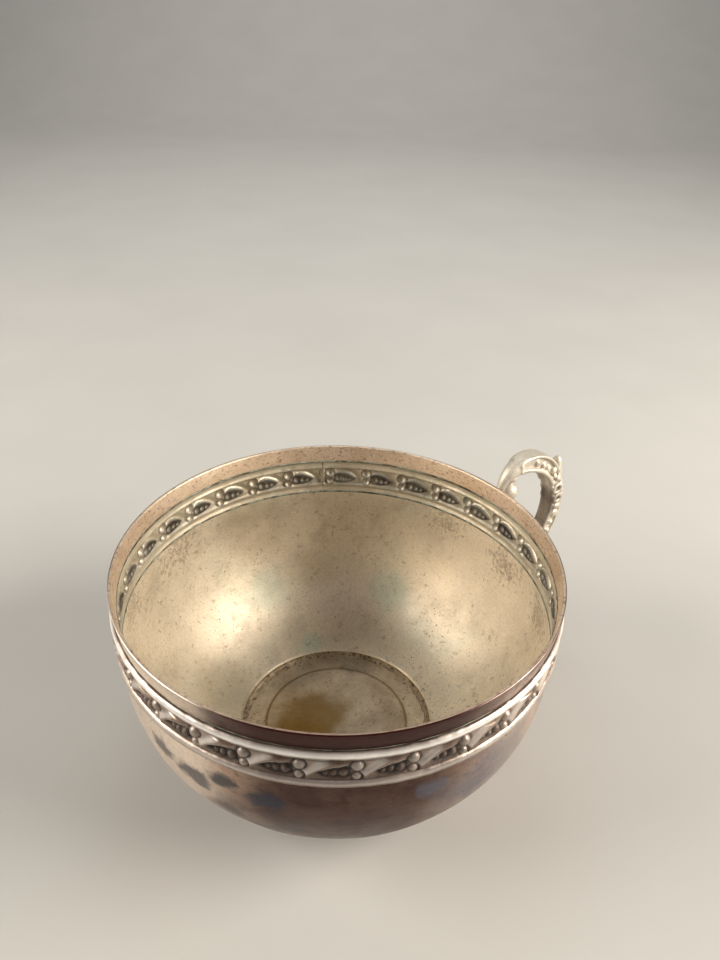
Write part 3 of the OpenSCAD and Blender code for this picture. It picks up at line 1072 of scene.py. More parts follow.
@dataclass
class Base:
    """The base disc with its raised middle, and the pitted solder round it.

    Attributes:
        cup: Shared sizes.
        recess: How far the disc sits up inside the foot.
        step_r: Radius of the raised middle.
        step_h: Height of the raised middle.
        slope_in: How far inside that radius the step's slope starts.
        slope_w: Width of the slope.
        flat_out: How far outside that radius the flat ring is drawn from.
        sag: How far the raised middle sags.
        fillet_w: Width of the solder.
        fillet_h: Height of the solder.
        ragged: How far the solder's edge wanders.
        lump: Height of the lumps on the solder.
    """

    cup: CupSizes
    recess: float = 0.4
    step_r: float = 18.4
    step_h: float = 0.7
    slope_in: float = 0.9
    slope_w: float = 1.1
    flat_out: float = 0.6
    sag: float = 0.06
    fillet_w: float = 1.3
    fillet_h: float = 0.95
    ragged: float = 0.25
    lump: float = 0.05

    @property
    def top(self) -> float:
        """Height of the disc's upper face beside the solder."""
        return self.recess + self.cup.wall

    def build_disc(self) -> Piece:
        """Turns the disc, with the step pressed through it.

        Returns:
            The disc.
        """
        c = self.cup
        crown = np.linspace(0, self.step_r - self.slope_in, 24)
        fall = np.linspace(0, 1, 9)[1:]
        ring = np.linspace(self.step_r + self.flat_out, c.foot_in_r, 8)
        raised = self.top + self.step_h - self.sag * (1 - (crown / self.step_r) ** 2)
        slope = self.top + self.step_h * (1 - smooth(0, 1, fall))
        radii = np.concatenate([crown, self.step_r - self.slope_in + self.slope_w * fall, ring])
        front = np.stack([radii, np.concatenate([raised, slope, np.full(len(ring), self.top)])], axis=-1)
        return turned("cup_base", np.concatenate([front, front[::-1] - (0, c.wall)]), c.segments)

    def build_solder(self) -> Piece:
        """Turns the uneven fillet of solder.

        Returns:
            The fillet.
        """
        c = self.cup
        turn = np.linspace(0, math.pi / 2, 9)
        reach = c.foot_in_r - self.fillet_w * (1 - np.sin(turn))
        hollow = np.stack([reach, self.top + self.fillet_h * (1 - np.cos(turn))], axis=-1)
        loop = np.concatenate([[(c.foot_in_r, self.top)], hollow])

        def uneven(points: Array) -> Array:
            """Makes the fillet's edge ragged and its face lumpy.

            Args:
                points: Points of the even fillet.

            Returns:
                The moved points.
            """
            angle, radius = polar(points)
            inward = np.clip((c.foot_in_r - radius) / self.fillet_w, 0, 1)
            up = np.clip((points[:, 2] - self.top) / self.fillet_h, 0, 1)
            on_face = smooth(0.05, 0.4, inward) * (1 - smooth(0.6, 0.95, inward))
            moved = at_radius(points, radius - inward * self.ragged * ripple(angle, 0.4, (17, 29, 43, 71)))
            moved[:, 2] += up * self.lump * ripple(angle, 1.3, (31, 53, 71, 97)) * on_face
            return moved

        return turned("base_solder_ring", loop, c.segments * 2, shape=uneven)

    def dress(self, disc: Piece, solder: Piece) -> None:
        """Gives the disc and its solder their finishes."""
        dress(disc, "base_disc", Slot.BASE, FLOOR_DISC.material())
        dress(solder, "base_seam", Slot.BASE_SOLDER, PITTED_SOLDER.material())


@dataclass
class Seams:
    """The solder lines along both edges of the border strip.

    Attributes:
        cup: Shared sizes.
        swell: How far the solder stands out of the seam where it is thick.
        smear: How far it has run over the metal beside the seam inside.
        film: Thickness of the solder at the edge of that run.
    """

    cup: CupSizes
    swell: float = 0.1
    smear: float = 0.2
    film: float = 0.03

    def build(self, name: str, low: float, high: float, seed: float) -> Piece:
        """Turns one solder line.

        Args:
            name: Name of the piece.
            low: Height of its lower face.
            high: Height of its upper face.
            seed: Shifts its unevenness.

        Returns:
            The solder line.
        """
        c = self.cup
        middle = (low + high) / 2
        core = c.inner_r + c.wall / 2
        proud = c.face_r + 0.5 * self.swell
        outside = [(c.inner_r, low), (c.face_r, low), (proud, middle), (c.face_r, high)]
        inside = [
            (c.inner_r, high),
            (c.inner_r - self.film, high + self.smear),
            (c.inner_r - self.swell, middle),
            (c.inner_r - self.film, low - self.smear),
        ]

        def uneven(points: Array) -> Array:
            """Swells the two faces unevenly.

            Args:
                points: Points of the even line.

            Returns:
                The moved points.
            """
            angle, radius = polar(points)
            crown = (np.abs(points[:, 2] - middle) < 1e-6) * np.sign(radius - core)
            return at_radius(points, radius + crown * self.swell * ripple(angle, seed, (23, 41, 67, 109)))

        loop = np.array(outside + inside)
        return turned(name, loop, c.segments * 2, lambda mid: mid[:, 0] > core, uneven)

    def dress(self, piece: Piece, node: str) -> None:
        """Gives a solder line its two faces' finishes."""
        dress(piece, node, Slot.SEAM, SEAM_OUTSIDE.material(), SEAM_SOLDER.material())


@dataclass
class BorderStrip:
    """The rolled strip of leaves and berries, and the joint between its ends.

    A motif is drawn along the strip from its berry: u grows with the direction round the cup, v up
    from the strip's middle line, and heights are measured out from the strip's face.

    Attributes:
        cup: Shared sizes.
        motifs: Number of motifs.
        joint_az: Direction of the joint in degrees.
        joint_plain: Plain length at the joint.
        joint_t: Width of the solder in the joint.
        joint_swell: How far that solder stands out.
        bead_r: Radius of the round of each bead.
        bead_sink: Depth of that round's centre below the face.
        bead_v: Height of the beads from the middle line.
        groove: Depth of the soft groove behind each bead.
        ridge: Places u and v of the ridge along which the leaf is folded.
        pod: Places u of the pod's outline, and v of its upper and of its lower edge there.
        peas: Place along and up, radius and height of each pea in the pod.
        berries: The same of the berry and of the knob below it.
        leaf_h: Height of the leaf along its ridge.
        folds: How far the leaf falls above and below its ridge.
        leaf_drop: How far the leaf's ridge sinks towards its end.
        bed_h: Height of the leaf round the pod.
        rim_h: Height of the pod's raised edge.
        work_v: Heights from the middle line between which the work ends at the beads.
        press: Height of the dents in the reverse, as a share of the relief.
        rolled_t: Thickness of the metal in the raised work.
        tail: Length of a motif beyond its berry.
        soft: How far the work is worn soft.
        wear: Height range of the wear, which makes no two motifs quite alike.
        wear_size: Size of the worn places.
        columns: Steps along a motif.
        end_columns: Steps along the plain ends at the joint.
        edge_w: Width of the row of faces along each edge.
        field_rows: Steps across the field between the beads.
        bead_rows: Steps across a bead.
    """

    cup: CupSizes
    motifs: int = 30
    joint_az: float = 60.0
    joint_plain: float = 1.7
    joint_t: float = 0.15
    joint_swell: float = 0.05
    bead_r: float = 1.15
    bead_sink: float = 0.3
    bead_v: float = 3.7
    groove: float = 0.3
    ridge: tuple[tuple[float, ...], ...] = (
        (-9.9, -8.7, -7.6, -6.2, -4.8, -3.4, -2.2),
        (-1.7, -0.95, 0.0, 1.1, 1.85, 2.3, 2.5),
    )
    pod: tuple[tuple[float, ...], ...] = (
        (-7.6, -6.6, -5.2, -3.6, -2.2, -1.3, -0.95),
        (-0.6, 0.3, 1.05, 1.45, 1.4, 0.9, 0.1),
        (-0.6, -1.35, -1.9, -2.15, -2.1, -1.6, -1.0),
    )
    peas: tuple[tuple[float, float, float, float], ...] = (
        (-5.6, -0.8, 0.52, 0.44),
        (-4.2, -0.7, 0.68, 0.58),
        (-2.45, -0.55, 0.9, 0.76),
    )
    berries: tuple[tuple[float, float, float, float], ...] = ((0.0, 1.2, 1.2, 1.0), (0.0, -1.5, 0.95, 0.8))
    leaf_h: float = 0.86
    folds: tuple[float, float] = (0.5, 0.34)
    leaf_drop: float = 0.3
    bed_h: float = 0.36
    rim_h: float = 0.16
    work_v: tuple[float, float] = (2.4, 2.6)
    press: float = 1.1
    rolled_t: float = 0.4
    tail: float = 1.3
    soft: float = 0.1
    wear: float = 0.28
    wear_size: float = 2.6
    columns: int = 40
    end_columns: int = 4
    edge_w: float = 0.06
    field_rows: int = 20
    bead_rows: int = 7

    @property
    def motif_l(self) -> float:
        """Length of a motif along the face."""
        return (2 * math.pi * self.cup.face_r - self.joint_plain) / self.motifs

    @property
    def middle_z(self) -> float:
        """Height of the strip's middle line."""
        return (self.cup.strip_top + self.cup.strip_low) / 2

    def relief(self, u: Array, v: Array) -> Array:
        """Height of the leaf-and-berry work above the face, worn soft.

        Args:
            u: Places along the strip from a berry.
            v: Places up from the middle line.

        Returns:
            Heights in millimetres.
        """
        height = np.zeros_like(u)
        shifts = ((0, 0), (self.soft, 0), (-self.soft, 0), (0, self.soft), (0, -self.soft))
        for du, dv in shifts:
            height += self._motif((u + du) % self.motif_l - self.motif_l, v + dv) / len(shifts)
        return height * (1 - smooth(*self.work_v, np.abs(v)))

    def _nearest(self, u: Array) -> Array:
        """Places along the strip from the nearest berry."""
        return (u + self.motif_l / 2) % self.motif_l - self.motif_l / 2

    def _pod(self, u: Array, v: Array) -> Array:
        """Draws the pod.

        Args:
            u: Places along the motif.
            v: Places up from the middle line.

        Returns:
            Share by which each place lies inside the pod.
        """
        along, top, keel = self.pod
        above, below = v - np.interp(u, along, keel), np.interp(u, along, top) - v
        ends = smooth(-7.6, -7.2, u) * (1 - smooth(-1.15, -0.9, u))
        return smooth(0, 0.22, below) * smooth(0, 0.26, above) * ends

    def _pod_rim(self, u: Array, v: Array, up: float, width: float, end: float) -> Array:
        """Share by which each place lies on the pod's raised edge.

        Args:
            u: Places along the motif.
            v: Places up from the middle line.
            up: Height of the edge's crest over the pod's outline.
            width: Width of the edge.
            end: Where along the motif the edge starts to fade out.

        Returns:
            Shares from 0 to 1.
        """
        over = v - np.interp(u, *self.pod[:2])
        return bell(over - up, width) * smooth(-7.5, -6.3, u) * (1 - smooth(end, -1.1, u))

    def _motif(self, u: Array, v: Array) -> Array:
        """Draws one motif, from the berry before its leaf to its own berry at u = 0.

        Args:
            u: Places along the motif.
            v: Places up from the middle line.

        Returns:
            Heights in millimetres.
        """
        # Leaf: folded along a ridge that climbs from the knob before it to the upper bead
        over = v - np.interp(u, *self.ridge)
        fold = self.folds[0] * smooth(0, 1.5, over) + self.folds[1] * smooth(0, 1.9, -over)
        height = self.leaf_h - fold - self.leaf_drop * smooth(-3.4, -1.6, u)
        # Pod: an almond sunk into the leaf below its fold, with a raised edge along its top
        height = height + self.rim_h * self._pod_rim(u, v, 0.12, 0.22, -1.7)
        below = smooth(-0.2, 0.5, np.interp(u, *self.pod[:2]) - v)
        bed = smooth(-7.8, -6.5, u) * (1 - smooth(-1.5, -0.9, u)) * below
        height = (height + (self.bed_h - height) * bed) * (1 - self._pod(u, v))
        # Peas in the pod, then the berry and the knob, each in a groove of its own
        for at_u, at_v, radius, rise in self.peas:
            height = np.maximum(height, rise * dome(np.hypot(u - at_u, v - at_v) / radius))
        for at_u, at_v, radius, rise in self.berries:
            apart = np.hypot(self._nearest(u) - at_u, v - at_v) / radius
            height = height * (1 - 0.85 * bell(apart - 1.12, 0.16))
            height = np.maximum(np.where(apart < 1.08, 0, height), rise * dome(apart))
        return height

    def _marks(self, u: Array, v: Array, fade: Array) -> tuple[Array, Array]:
        """Where grime and painted shade lie in the work, and where it is worn with painted highlights.

        Args:
            u: Places along the strip from a berry.
            v: Places up from the middle line.
            fade: Share of the relief that is left.

        Returns:
            Shares of grime with painted shade, and of wear with painted highlights.
        """
        # Leaf: painted highlight on the upward face above its ridge, painted shade on the face below it
        near = u % self.motif_l - self.motif_l
        over = v - np.interp(near, *self.ridge)
        highlight_and_wear = 0.42 * smooth(-0.2, 0.3, over) * (1 - 0.75 * smooth(0.7, 2.4, over))
        highlight_and_wear = highlight_and_wear * (1 - smooth(-6.4, -4.0, near))
        dirt_and_shade = 0.42 * smooth(0.1, 0.9, -over) * (1 - smooth(-2.6, -1.4, near))
        # Pod: dark inside, a little brighter on its edge
        rim = self._pod_rim(near, v, 0.15, 0.2, -1.9)
        highlight_and_wear = np.maximum(highlight_and_wear, 0.25 * rim)
        shade = np.maximum(self._pod(near, v), 0.8 * self._pod(near, v + 0.3))
        dirt_and_shade = np.maximum(dirt_and_shade * (1 - rim), shade)
        # Each row: the balls, their places, grime in the grooves round them, wear with painted highlight on
        # them, and grime on them
        rows = ((self.peas, near, 0.85, 0.03, 0.55), (self.berries, self._nearest(near), 0.9, 0.22, 0.14))
        for balls, places, groove, shine, soot in rows:
            for at_u, at_v, radius, _ in balls:
                apart = np.hypot(places - at_u, v - at_v) / radius
                on = 1 - smooth(0.75, 1.0, apart)
                dirt_and_shade = np.maximum(dirt_and_shade, groove * bell(apart - 1.12, 0.2))
                dirt_and_shade = dirt_and_shade + (soot - dirt_and_shade) * on
                highlight_and_wear = highlight_and_wear * smooth(1.0, 1.35, apart) + shine * on
        # Beads: a painted highlight just above each crest, full on the upper bead and weaker on the lower,
        # and grime where they meet the seams
        past = v - np.sign(v) * self.bead_v
        bead = bell(past - 0.35, 0.45) * np.where(v > 0, 1.0, 0.4)
        outside = smooth(0.95, 1.05, past * np.sign(v))
        work = 1 - smooth(2.6, 2.8, np.abs(v))
        dirt_and_shade = dirt_and_shade * fade * work + (1 - work) * 0.9 * outside
        return dirt_and_shade, highlight_and_wear * fade * work + (1 - work) * bead * (1 - outside)

    def _rows(self) -> tuple[Array, Array, Array, Array]:
        """Lines of the two faces across the strip, from its lower edge to its upper edge.

        Returns:
            Heights v and distances out of the front face, and the same of the back face.
        """
        half = self.cup.strip_top - self.middle_z
        reach = math.sqrt(self.bead_r ** 2 - self.bead_sink ** 2)
        swing = math.atan2(reach, self.bead_sink)
        turn = np.linspace(-swing, swing, self.bead_rows + 1)
        field = np.linspace(-(self.bead_v - reach), self.bead_v - reach, self.field_rows + 1)[1:-1]
        rim = np.array([half - self.edge_w, half])

        def line(bead_v: Array, bead_w: Array, base: float) -> tuple[Array, Array]:
            """Draws a plain face with a bead near each edge.

            Args:
                bead_v: Heights across a bead from its middle.
                bead_w: Distances out across the bead.
                base: Distance out of the plain face.

            Returns:
                Heights v and distances out across the whole face.
            """
            edge = np.full(2, base)
            v = np.concatenate([-rim[::-1], bead_v - self.bead_v, field, bead_v + self.bead_v, rim])
            return v, np.concatenate([edge, bead_w, np.full(len(field), base), bead_w, edge])

        groove = self.groove * (0.5 + 0.5 * np.cos(math.pi * turn / swing))
        front = line(self.bead_r * np.sin(turn), self.bead_r * np.cos(turn) - self.bead_sink, 0.0)
        return (*front, *line(reach * turn / swing, groove - self.cup.wall, -self.cup.wall))

    def _wrapped(self, u: Array, v: Array, w: Array) -> Array:
        """Wraps places along, up and out from the strip's face round the cup."""
        angle, radius = u / self.cup.face_r, self.cup.face_r + w
        return np.stack([radius * np.cos(angle), radius * np.sin(angle), self.middle_z + v], axis=-1)

    @staticmethod
    def _skin(columns: int, rows: int, caps: Sequence[int]) -> list[list[int]]:
        """Faces round a stretch of strip.

        Args:
            columns: Steps along it.
            rows: Points across each of its two faces.
            caps: Columns at which it is closed.

        Returns:
            Corners of each face, with the caps last.
        """
        at = np.arange((columns + 1) * 2 * rows).reshape(columns + 1, 2 * rows)
        up = np.roll(at, -1, 1)
        faces = np.stack([at[:-1], at[1:], up[1:], up[:-1]], axis=-1).reshape(-1, 4).tolist()
        for column in caps:
            front, back = at[column, :rows], at[column, :rows - 1:-1]
            cap = np.stack([front[:-1], front[1:], back[1:], back[:-1]], axis=-1)
            faces += (cap[:, ::-1] if column else cap).tolist()
        return faces

    def _stretch(
        self, name: str, ends: tuple[float, float], columns: int, fade: Change, caps: Sequence[int]
    ) -> Piece:
        """Makes a stretch of strip, open where the next stretch joins on.

        Args:
            name: Name of the object.
            ends: Where it starts and ends, from a berry.
            columns: Steps along it.
            fade: Share of the relief that is left at each u.
            caps: Columns at which it is closed.

        Returns:
            The stretch, at direction 0.
        """
        front_v, front_w, back_v, back_w = self._rows()
        along = np.linspace(*ends, columns + 1)
        u, v = np.meshgrid(along, front_v, indexing="ij")
        u2, v2 = np.meshgrid(along, back_v, indexing="ij")
        front = front_w + self.relief(u, v) * fade(u)
        raised = self.relief(u2, v2) * fade(u2)
        pressed = np.minimum(self.press * raised, raised + self.cup.wall - self.rolled_t)
        back = back_w + pressed
        points = np.concatenate([self._wrapped(u, v, front), self._wrapped(u2, v2, back)[:, ::-1]], axis=1)
        rows = len(front_v)
        faces = self._skin(columns, rows, caps)
        mesh = bpy.data.meshes.new(name)
        mesh.from_pydata((points.reshape(-1, 3) * MM).tolist(), [], faces)
        reverse = np.arange(len(faces)) % (2 * rows) >= rows
        mesh.attributes.new("reverse", "BOOLEAN", "FACE").data.foreach_set("value", reverse)
        # Marks of grime with painted shade, and of wear with painted highlights, for both faces
        pairs = zip(self._marks(u, v, fade(u)), self._marks(u2, v2, fade(u2)))
        mark(mesh, *(np.concatenate([before, behind[:, ::-1]], axis=1) for before, behind in pairs))
        return placed(name, mesh)

    def _tree(self) -> Tree:
        """Builds the tree that repeats the motif round the cup, closes the ends and wears the work.

        Returns:
            The tree.
        """
        inputs = dict.fromkeys(("Motif", "First end", "Last end"), "Object") | {"Count": "Int"}
        inputs |= dict.fromkeys(("First direction", "Step", "Weld", "Wear", "Wear scale"), "Float")
        inputs |= dict.fromkeys(("Front", "Reverse"), "Material")
        tree, given = node_tree("Leaf and berry border", inputs)
        add = partial(add_node, tree)
        motif, first, last = (
            add("GeometryNodeObjectInfo", {"Object": given[name]}, out="Geometry")
            for name in ("Motif", "First end", "Last end")
        )
        points = add("GeometryNodePoints", {"Count": given["Count"]})
        feeds = {0: add("GeometryNodeInputIndex"), 1: given["Step"], 2: given["First direction"]}
        turn = add("ShaderNodeMath", feeds, operation="MULTIPLY_ADD")
        feeds = {"Points": points, "Instance": motif, "Rotation": add("ShaderNodeCombineXYZ", {"Z": turn})}
        row = add("GeometryNodeInstanceOnPoints", feeds)
        joined = add("GeometryNodeJoinGeometry", {0: [row, first, last]})
        real = add("GeometryNodeRealizeInstances", {"Geometry": joined})
        whole = add("GeometryNodeMergeByDistance", {"Geometry": real, "Distance": given["Weld"]})
        noise = add("ShaderNodeTexNoise", {"Scale": given["Wear scale"], "Detail": 2.0})
        rise = add("ShaderNodeMath", {0: noise, 1: 0.5}, operation="SUBTRACT")
        rise = add("ShaderNodeMath", {0: rise, 1: given["Wear"]}, operation="MULTIPLY")
        feeds = {0: add("GeometryNodeInputNormal"), "Scale": rise}
        shift = add("ShaderNodeVectorMath", feeds, operation="SCALE")
        worn = add("GeometryNodeSetPosition", {"Geometry": whole, "Offset": shift})
        soft = add("GeometryNodeSetShadeSmooth", {"Geometry": worn})
        faced = add("GeometryNodeSetMaterial", {"Geometry": soft, "Material": given["Front"]})
        inside = add("GeometryNodeInputNamedAttribute", {"Name": "reverse"}, data_type="BOOLEAN")
        feeds = {"Geometry": faced, "Selection": inside, "Material": given["Reverse"]}
        add("NodeGroupOutput", {0: add("GeometryNodeSetMaterial", feeds)})
        return tree

    def build(self, front: Material, reverse: Material) -> Piece:
        """Repeats the motif round the cup.

        Args:
            front: Material of the outer face.
            reverse: Material of the inner face.

        Returns:
            The strip, closed but for its joint.
        """
        c = self.cup
        step = self.motif_l / c.face_r
        start = math.radians(self.joint_az) + (self.joint_plain + self.joint_t) / 2 / c.face_r
        berry = start + step - self.tail / c.face_r
        bare = (self.joint_plain - self.joint_t) / 2
        low, high = self.tail - self.motif_l, self.tail
        few = self.end_columns
        motif = self._stretch("motif", (low, high), self.columns, np.ones_like, ())
        first = self._stretch("first_end", (low - bare, low), few, partial(smooth, low - bare, low), (0,))
        last = self._stretch(
            "last_end", (high, high + bare), few, lambda u: 1 - smooth(high, high + bare, u), (few,)
        )
        first.data.transform(Matrix.Rotation(berry, 4, "Z"))
        last.data.transform(Matrix.Rotation(berry + step * (self.motifs - 1), 4, "Z"))
        values = {
            "Motif": motif,
            "First end": first,
            "Last end": last,
            "Count": self.motifs,
            "First direction": berry,
            "Step": step,
            "Weld": 0.01 * MM,
            "Wear": self.wear * MM,
            "Wear scale": per_mm(self.wear_size),
            "Front": front,
            "Reverse": reverse,
        }
        strip = grown(placed("leaf_border", bpy.data.meshes.new("leaf_border")), self._tree(), values)
        for part in (motif, first, last):
            bpy.data.objects.remove(part)
        return strip

    def build_joint(self) -> Piece:
        """Makes the run of solder between the strip's ends.

        Returns:
            The run of solder.
        """
        front_v, front_w, back_v, back_w = self._rows()
        rows = len(front_v)
        v, w = np.concatenate([front_v, back_v[::-1]]), np.concatenate([front_w, back_w[::-1]])
        out = np.repeat((self.joint_swell, -self.joint_swell), rows)
        start = math.radians(self.joint_az) * self.cup.face_r
        columns = ((0, 0), (0.5, 1), (1, 0))
        points = [
            self._wrapped(np.full(2 * rows, start + share * self.joint_t), v, w + swell * out)
            for share, swell in columns
        ]
        faces = self._skin(len(columns) - 1, rows, (0, len(columns) - 1))
        return mesh_object("border_joint", np.concatenate(points), faces)

    def dress(self, strip: Piece, joint: Piece) -> None:
        """Gives the joint its finish; the strip's own came with its tree."""
        dress(strip, "border_strip", Slot.BORDER)
        dress(joint, "strip_joint", Slot.SEAM, FLUSH_SOLDER.material())


@dataclass
class Handle:
    """The cast scroll handle, and the solder at its roots.

    Attributes:
        cup: Shared sizes.
        arch: Middle of the strap at the top of the arch, as (x, z).
        reach: Middle of the strap at its widest, as (x, z).
        root: Middle of the strap at its upper end, as (x, z).
        tail: Middle of the strap at its lower end, as (x, z).
        thick: Thickness at the root, the arch, the reach and the tail.
        width: Width across the strap.
        root_w: Width across its rounded upper end.
        hollow: Depth of the hollow down the inner face.
        panel: Depth of the sunk panels.
        ball: Place along x, height and radius of the ball.
        neck: Way back and up from the ball to its neck, and the neck's half sizes.
        lobe: Place along x and height of the lobe over the ball, and its half sizes.
        pearls: Way along past the arch, way out from the middle line, and half sizes out, across and
            along, of each pearl on a side.
        pearl_sunk: Depth of the pearls' middles below the strap's side.
        rings: Way along, way out, half height, half width and thickness of each ring on the leg.
        spur_at: Way along past the arch of the strap's dip and of the spur's foot.
        spur_l: Length of the thumb spur.
        spur_r: Its radius at the foot and towards the tip.
        notch: Share by which the outer face dips before the spur.
        voxel: Size of the cells that fuse the casting.
        blur: Rounds of averaging that set how wide a hollow of the casting counts.
        overlap: How far the casting may reach into the cup's wall.
        upper: Heights between which the solder runs at the upper root.
        lower: The same at the lower root.
        fillet_w: How far the solder runs beyond the strap's sides.
        fillet_d: Thickness of the solder beside the strap.
        fillet_in: How far the solder's back lies in the cup's wall.
        uneven: How unevenly the solder's width and its thickness run.
    """

    cup: CupSizes
    arch: tuple[float, float] = (58.0, 59.9)
    reach: tuple[float, float] = (72.8, 43.0)
    root: tuple[float, float] = (50.3, 51.1)
    tail: tuple[float, float] = (45.1, 21.0)
    thick: tuple[float, float, float, float] = (2.1, 4.9, 5.7, 3.6)
    width: float = 4.4
    root_w: float = 2.0
    hollow: float = 0.9
    panel: float = 0.6
    ball: tuple[float, float, float] = (53.75, 52.85, 2.55)
    neck: tuple[float, ...] = (2.0, 0.6, 1.6, 0.6, 0.9)
    lobe: tuple[float, ...] = (54.4, 56.7, 1.7, 1.6, 1.4)
    pearls: tuple[tuple[float, float, float, float, float], ...] = (
        (3.8, -0.1, 0.9, 0.45, 1.0),
        (6.9, -0.5, 0.9, 0.6, 0.95),
        (9.5, -0.75, 1.1, 0.75, 1.15),
        (12.0, 0.0, 1.15, 0.95, 1.05),
        (13.9, -0.6, 1.0, 1.0, 0.95),
        (15.9, 0.1, 1.1, 1.05, 1.0),
        (16.0, -1.7, 0.75, 0.9, 0.8),
        (25.6, -0.6, 1.75, 1.1, 1.15),
        (28.3, -0.3, 1.5, 0.7, 1.3),
        (30.9, -1.0, 1.1, 1.0, 0.95),
        (33.6, -0.8, 1.1, 1.0, 0.95),
        (36.2, -0.7, 1.0, 0.95, 0.9),
    )
    pearl_sunk: float = 0.45
    rings: tuple[tuple[float, ...], ...] = ((19.4, -0.6, 1.3, 1.5, 0.55), (22.8, -0.6, 1.1, 1.35, 0.62))
    spur_at: tuple[float, float] = (13.0, 16.0)
    spur_l: float = 6.3
    spur_r: tuple[float, float] = (2.2, 0.95)
    notch: float = 0.34
    voxel: float = 0.15
    blur: int = 14
    overlap: float = 0.15
    upper: tuple[float, float] = (51.55, 54.55)
    lower: tuple[float, float] = (19.9, 22.1)
    fillet_w: float = 0.85
    fillet_d: float = 0.5
    fillet_in: float = 0.12
    uneven: tuple[float, float] = (0.12, 0.07)

    def line(self, t: float) -> Array:
        """Draws the strap's middle line.

        Args:
            t: 0 at the root, 1 at the arch, 2 at the reach and 3 at the tail.

        Returns:
            The line's point as (x, z).
        """
        # Each quarter of an ellipse has a side end and a top or bottom end, and starts from one of them
        upper = ((self.root, self.arch, True), (self.reach, self.arch, False))
        quarters = (*upper, (self.reach, self.tail, True))
        k = min(2, int(t))
        side, end, from_side = quarters[k]
        a = math.pi / 2 * (t - k if from_side else k + 1 - t)
        x = end[0] + (side[0] - end[0]) * math.cos(a)
        return np.array([x, side[1] + (end[1] - side[1]) * math.sin(a)])

    def run(self, t: float) -> Array:
        """Unit direction of the middle line."""
        d = self.line(min(3, t + 0.01)) - self.line(max(0, t - 0.01))
        return d / np.linalg.norm(d)

    def thickness(self, t: float) -> float:
        """Thickness of the strap along its line."""
        k = min(2, int(t))
        return float(self.thick[k] + (self.thick[k + 1] - self.thick[k]) * smooth(k, k + 1, t))

    def turn_at(self, along: float) -> float:
        """Finds a place on the strap's line.

        Args:
            along: Distance along the line past the arch.

        Returns:
            The place t, as line() has it.
        """
        ts = np.linspace(0, 3, 601)
        points = np.array([self.line(t) for t in ts])
        length = np.concatenate([[0], np.cumsum(np.linalg.norm(np.diff(points, axis=0), axis=1))])
        return float(np.interp(np.interp(1, ts, length) + along, length, ts))

    def at(self, t: float, out: float, across: float) -> Array:
        """Point beside the strap's line, out from the finger gap and across the handle."""
        spot, way = self.line(t), self.run(t)
        return np.array([spot[0] - way[1] * out, across, spot[1] + way[0] * out])

    def half_width(self, t: float) -> float:
        """Half the width of the strap along its line."""
        return (self.root_w + (self.width - self.root_w) * float(smooth(0.1, 0.8, t))) / 2

    def _half(self, t: float) -> Array:
        """Draws half a section, from the middle of the outer face to the middle of the inner face.

        Args:
            t: Place on the strap's line.

        Returns:
            Points as (out, across).
        """
        a, b = self.thickness(t) / 2, self.half_width(t)
        crown = float((0.15 + 0.85 * smooth(1.2, 1.75, t)) * (1 - smooth(2.6, 2.95, t)))
        hollow = self.hollow * float(smooth(0.95, 1.3, t) * (1 - smooth(2.6, 2.9, t)))
        sunk = b - self.panel * float(smooth(0.84, 0.92, t) * (1 - smooth(2.5, 2.8, t)))
        # Outer edge of the framed section: out where it is flat, out where it is crowned, and across
        edge = ((1, 1, 0), (0.99, 0.92, 0.5 * b), (0.94, 0.66, 0.86 * b), (0.82, 0.34, b), (0.7, 0.24, sunk))
        outer = [((flat + (crowned - flat) * crown) * a, across) for flat, crowned, across in edge]
        inner = [(-0.6 * a, sunk), (-0.72 * a, b), (-0.92 * a, 0.9 * b), (-a, 0.68 * b)]
        inner += [(-a + 0.85 * hollow, 0.4 * b), (-a + hollow, 0)]
        framed = np.array(outer + inner)
        # Rounded section of the upper end, thin on its inner side
        turn = np.linspace(0, math.pi, len(framed))
        thin = 0.3 + (a - 0.3) * float(smooth(0.25, 0.8, t))
        deep = np.where(np.cos(turn) > 0, a, -thin) * np.abs(np.cos(turn)) ** 0.9
        plain = np.stack([deep, b * np.abs(np.sin(turn)) ** 0.9], axis=-1)
        section = plain + (framed - plain) * float(smooth(0.72, 0.9, t))
        dip = 1 - self.notch * bell(t - self.turn_at(self.spur_at[0]), 0.16)
        section[:, 0] *= np.where(section[:, 0] > 0, dip, 1)
        return section

    def _strap(self, stations: int = 120) -> Piece:
        """Sweeps the strap along its line.

        Args:
            stations: Number of sections along it.

        Returns:
            The strap.
        """
        points = []
        for t in np.linspace(0, 3, stations):
            half = self._half(t)
            fine = np.empty((2 * len(half) - 1, 2))
            fine[::2], fine[1::2] = half, half[:-1] + (half[1:] - half[:-1]) * 0.5
            points.append([self.at(t, *p) for p in np.concatenate([fine, fine[-2:0:-1] * (1, -1)])])
        return mesh_object("strap", np.concatenate(points), loft(stations, len(points[0])))

    @staticmethod
    def _tube(name: str, path: Array, radii: Array, sides: int = 14) -> Piece:
        """Makes a round bar along a path in a plane of constant y.

        Args:
            name: Name of the object.
            path: Points of its middle line.
            radii: Radius at each point.
            sides: Steps round it.

        Returns:
            The bar.
        """
        way = np.gradient(path, axis=0)
        way /= np.linalg.norm(way, axis=1)[:, None]
        turn = np.arange(sides) * 2 * math.pi / sides
        cross = np.array([0.0, 1.0, 0.0])
        points = [
            spot + radius * (np.outer(np.cos(turn), cross) + np.outer(np.sin(turn), np.cross(ahead, cross)))
            for spot, ahead, radius in zip(path, way, radii)
        ]
        return mesh_object(name, np.concatenate(points), loft(len(path), sides))

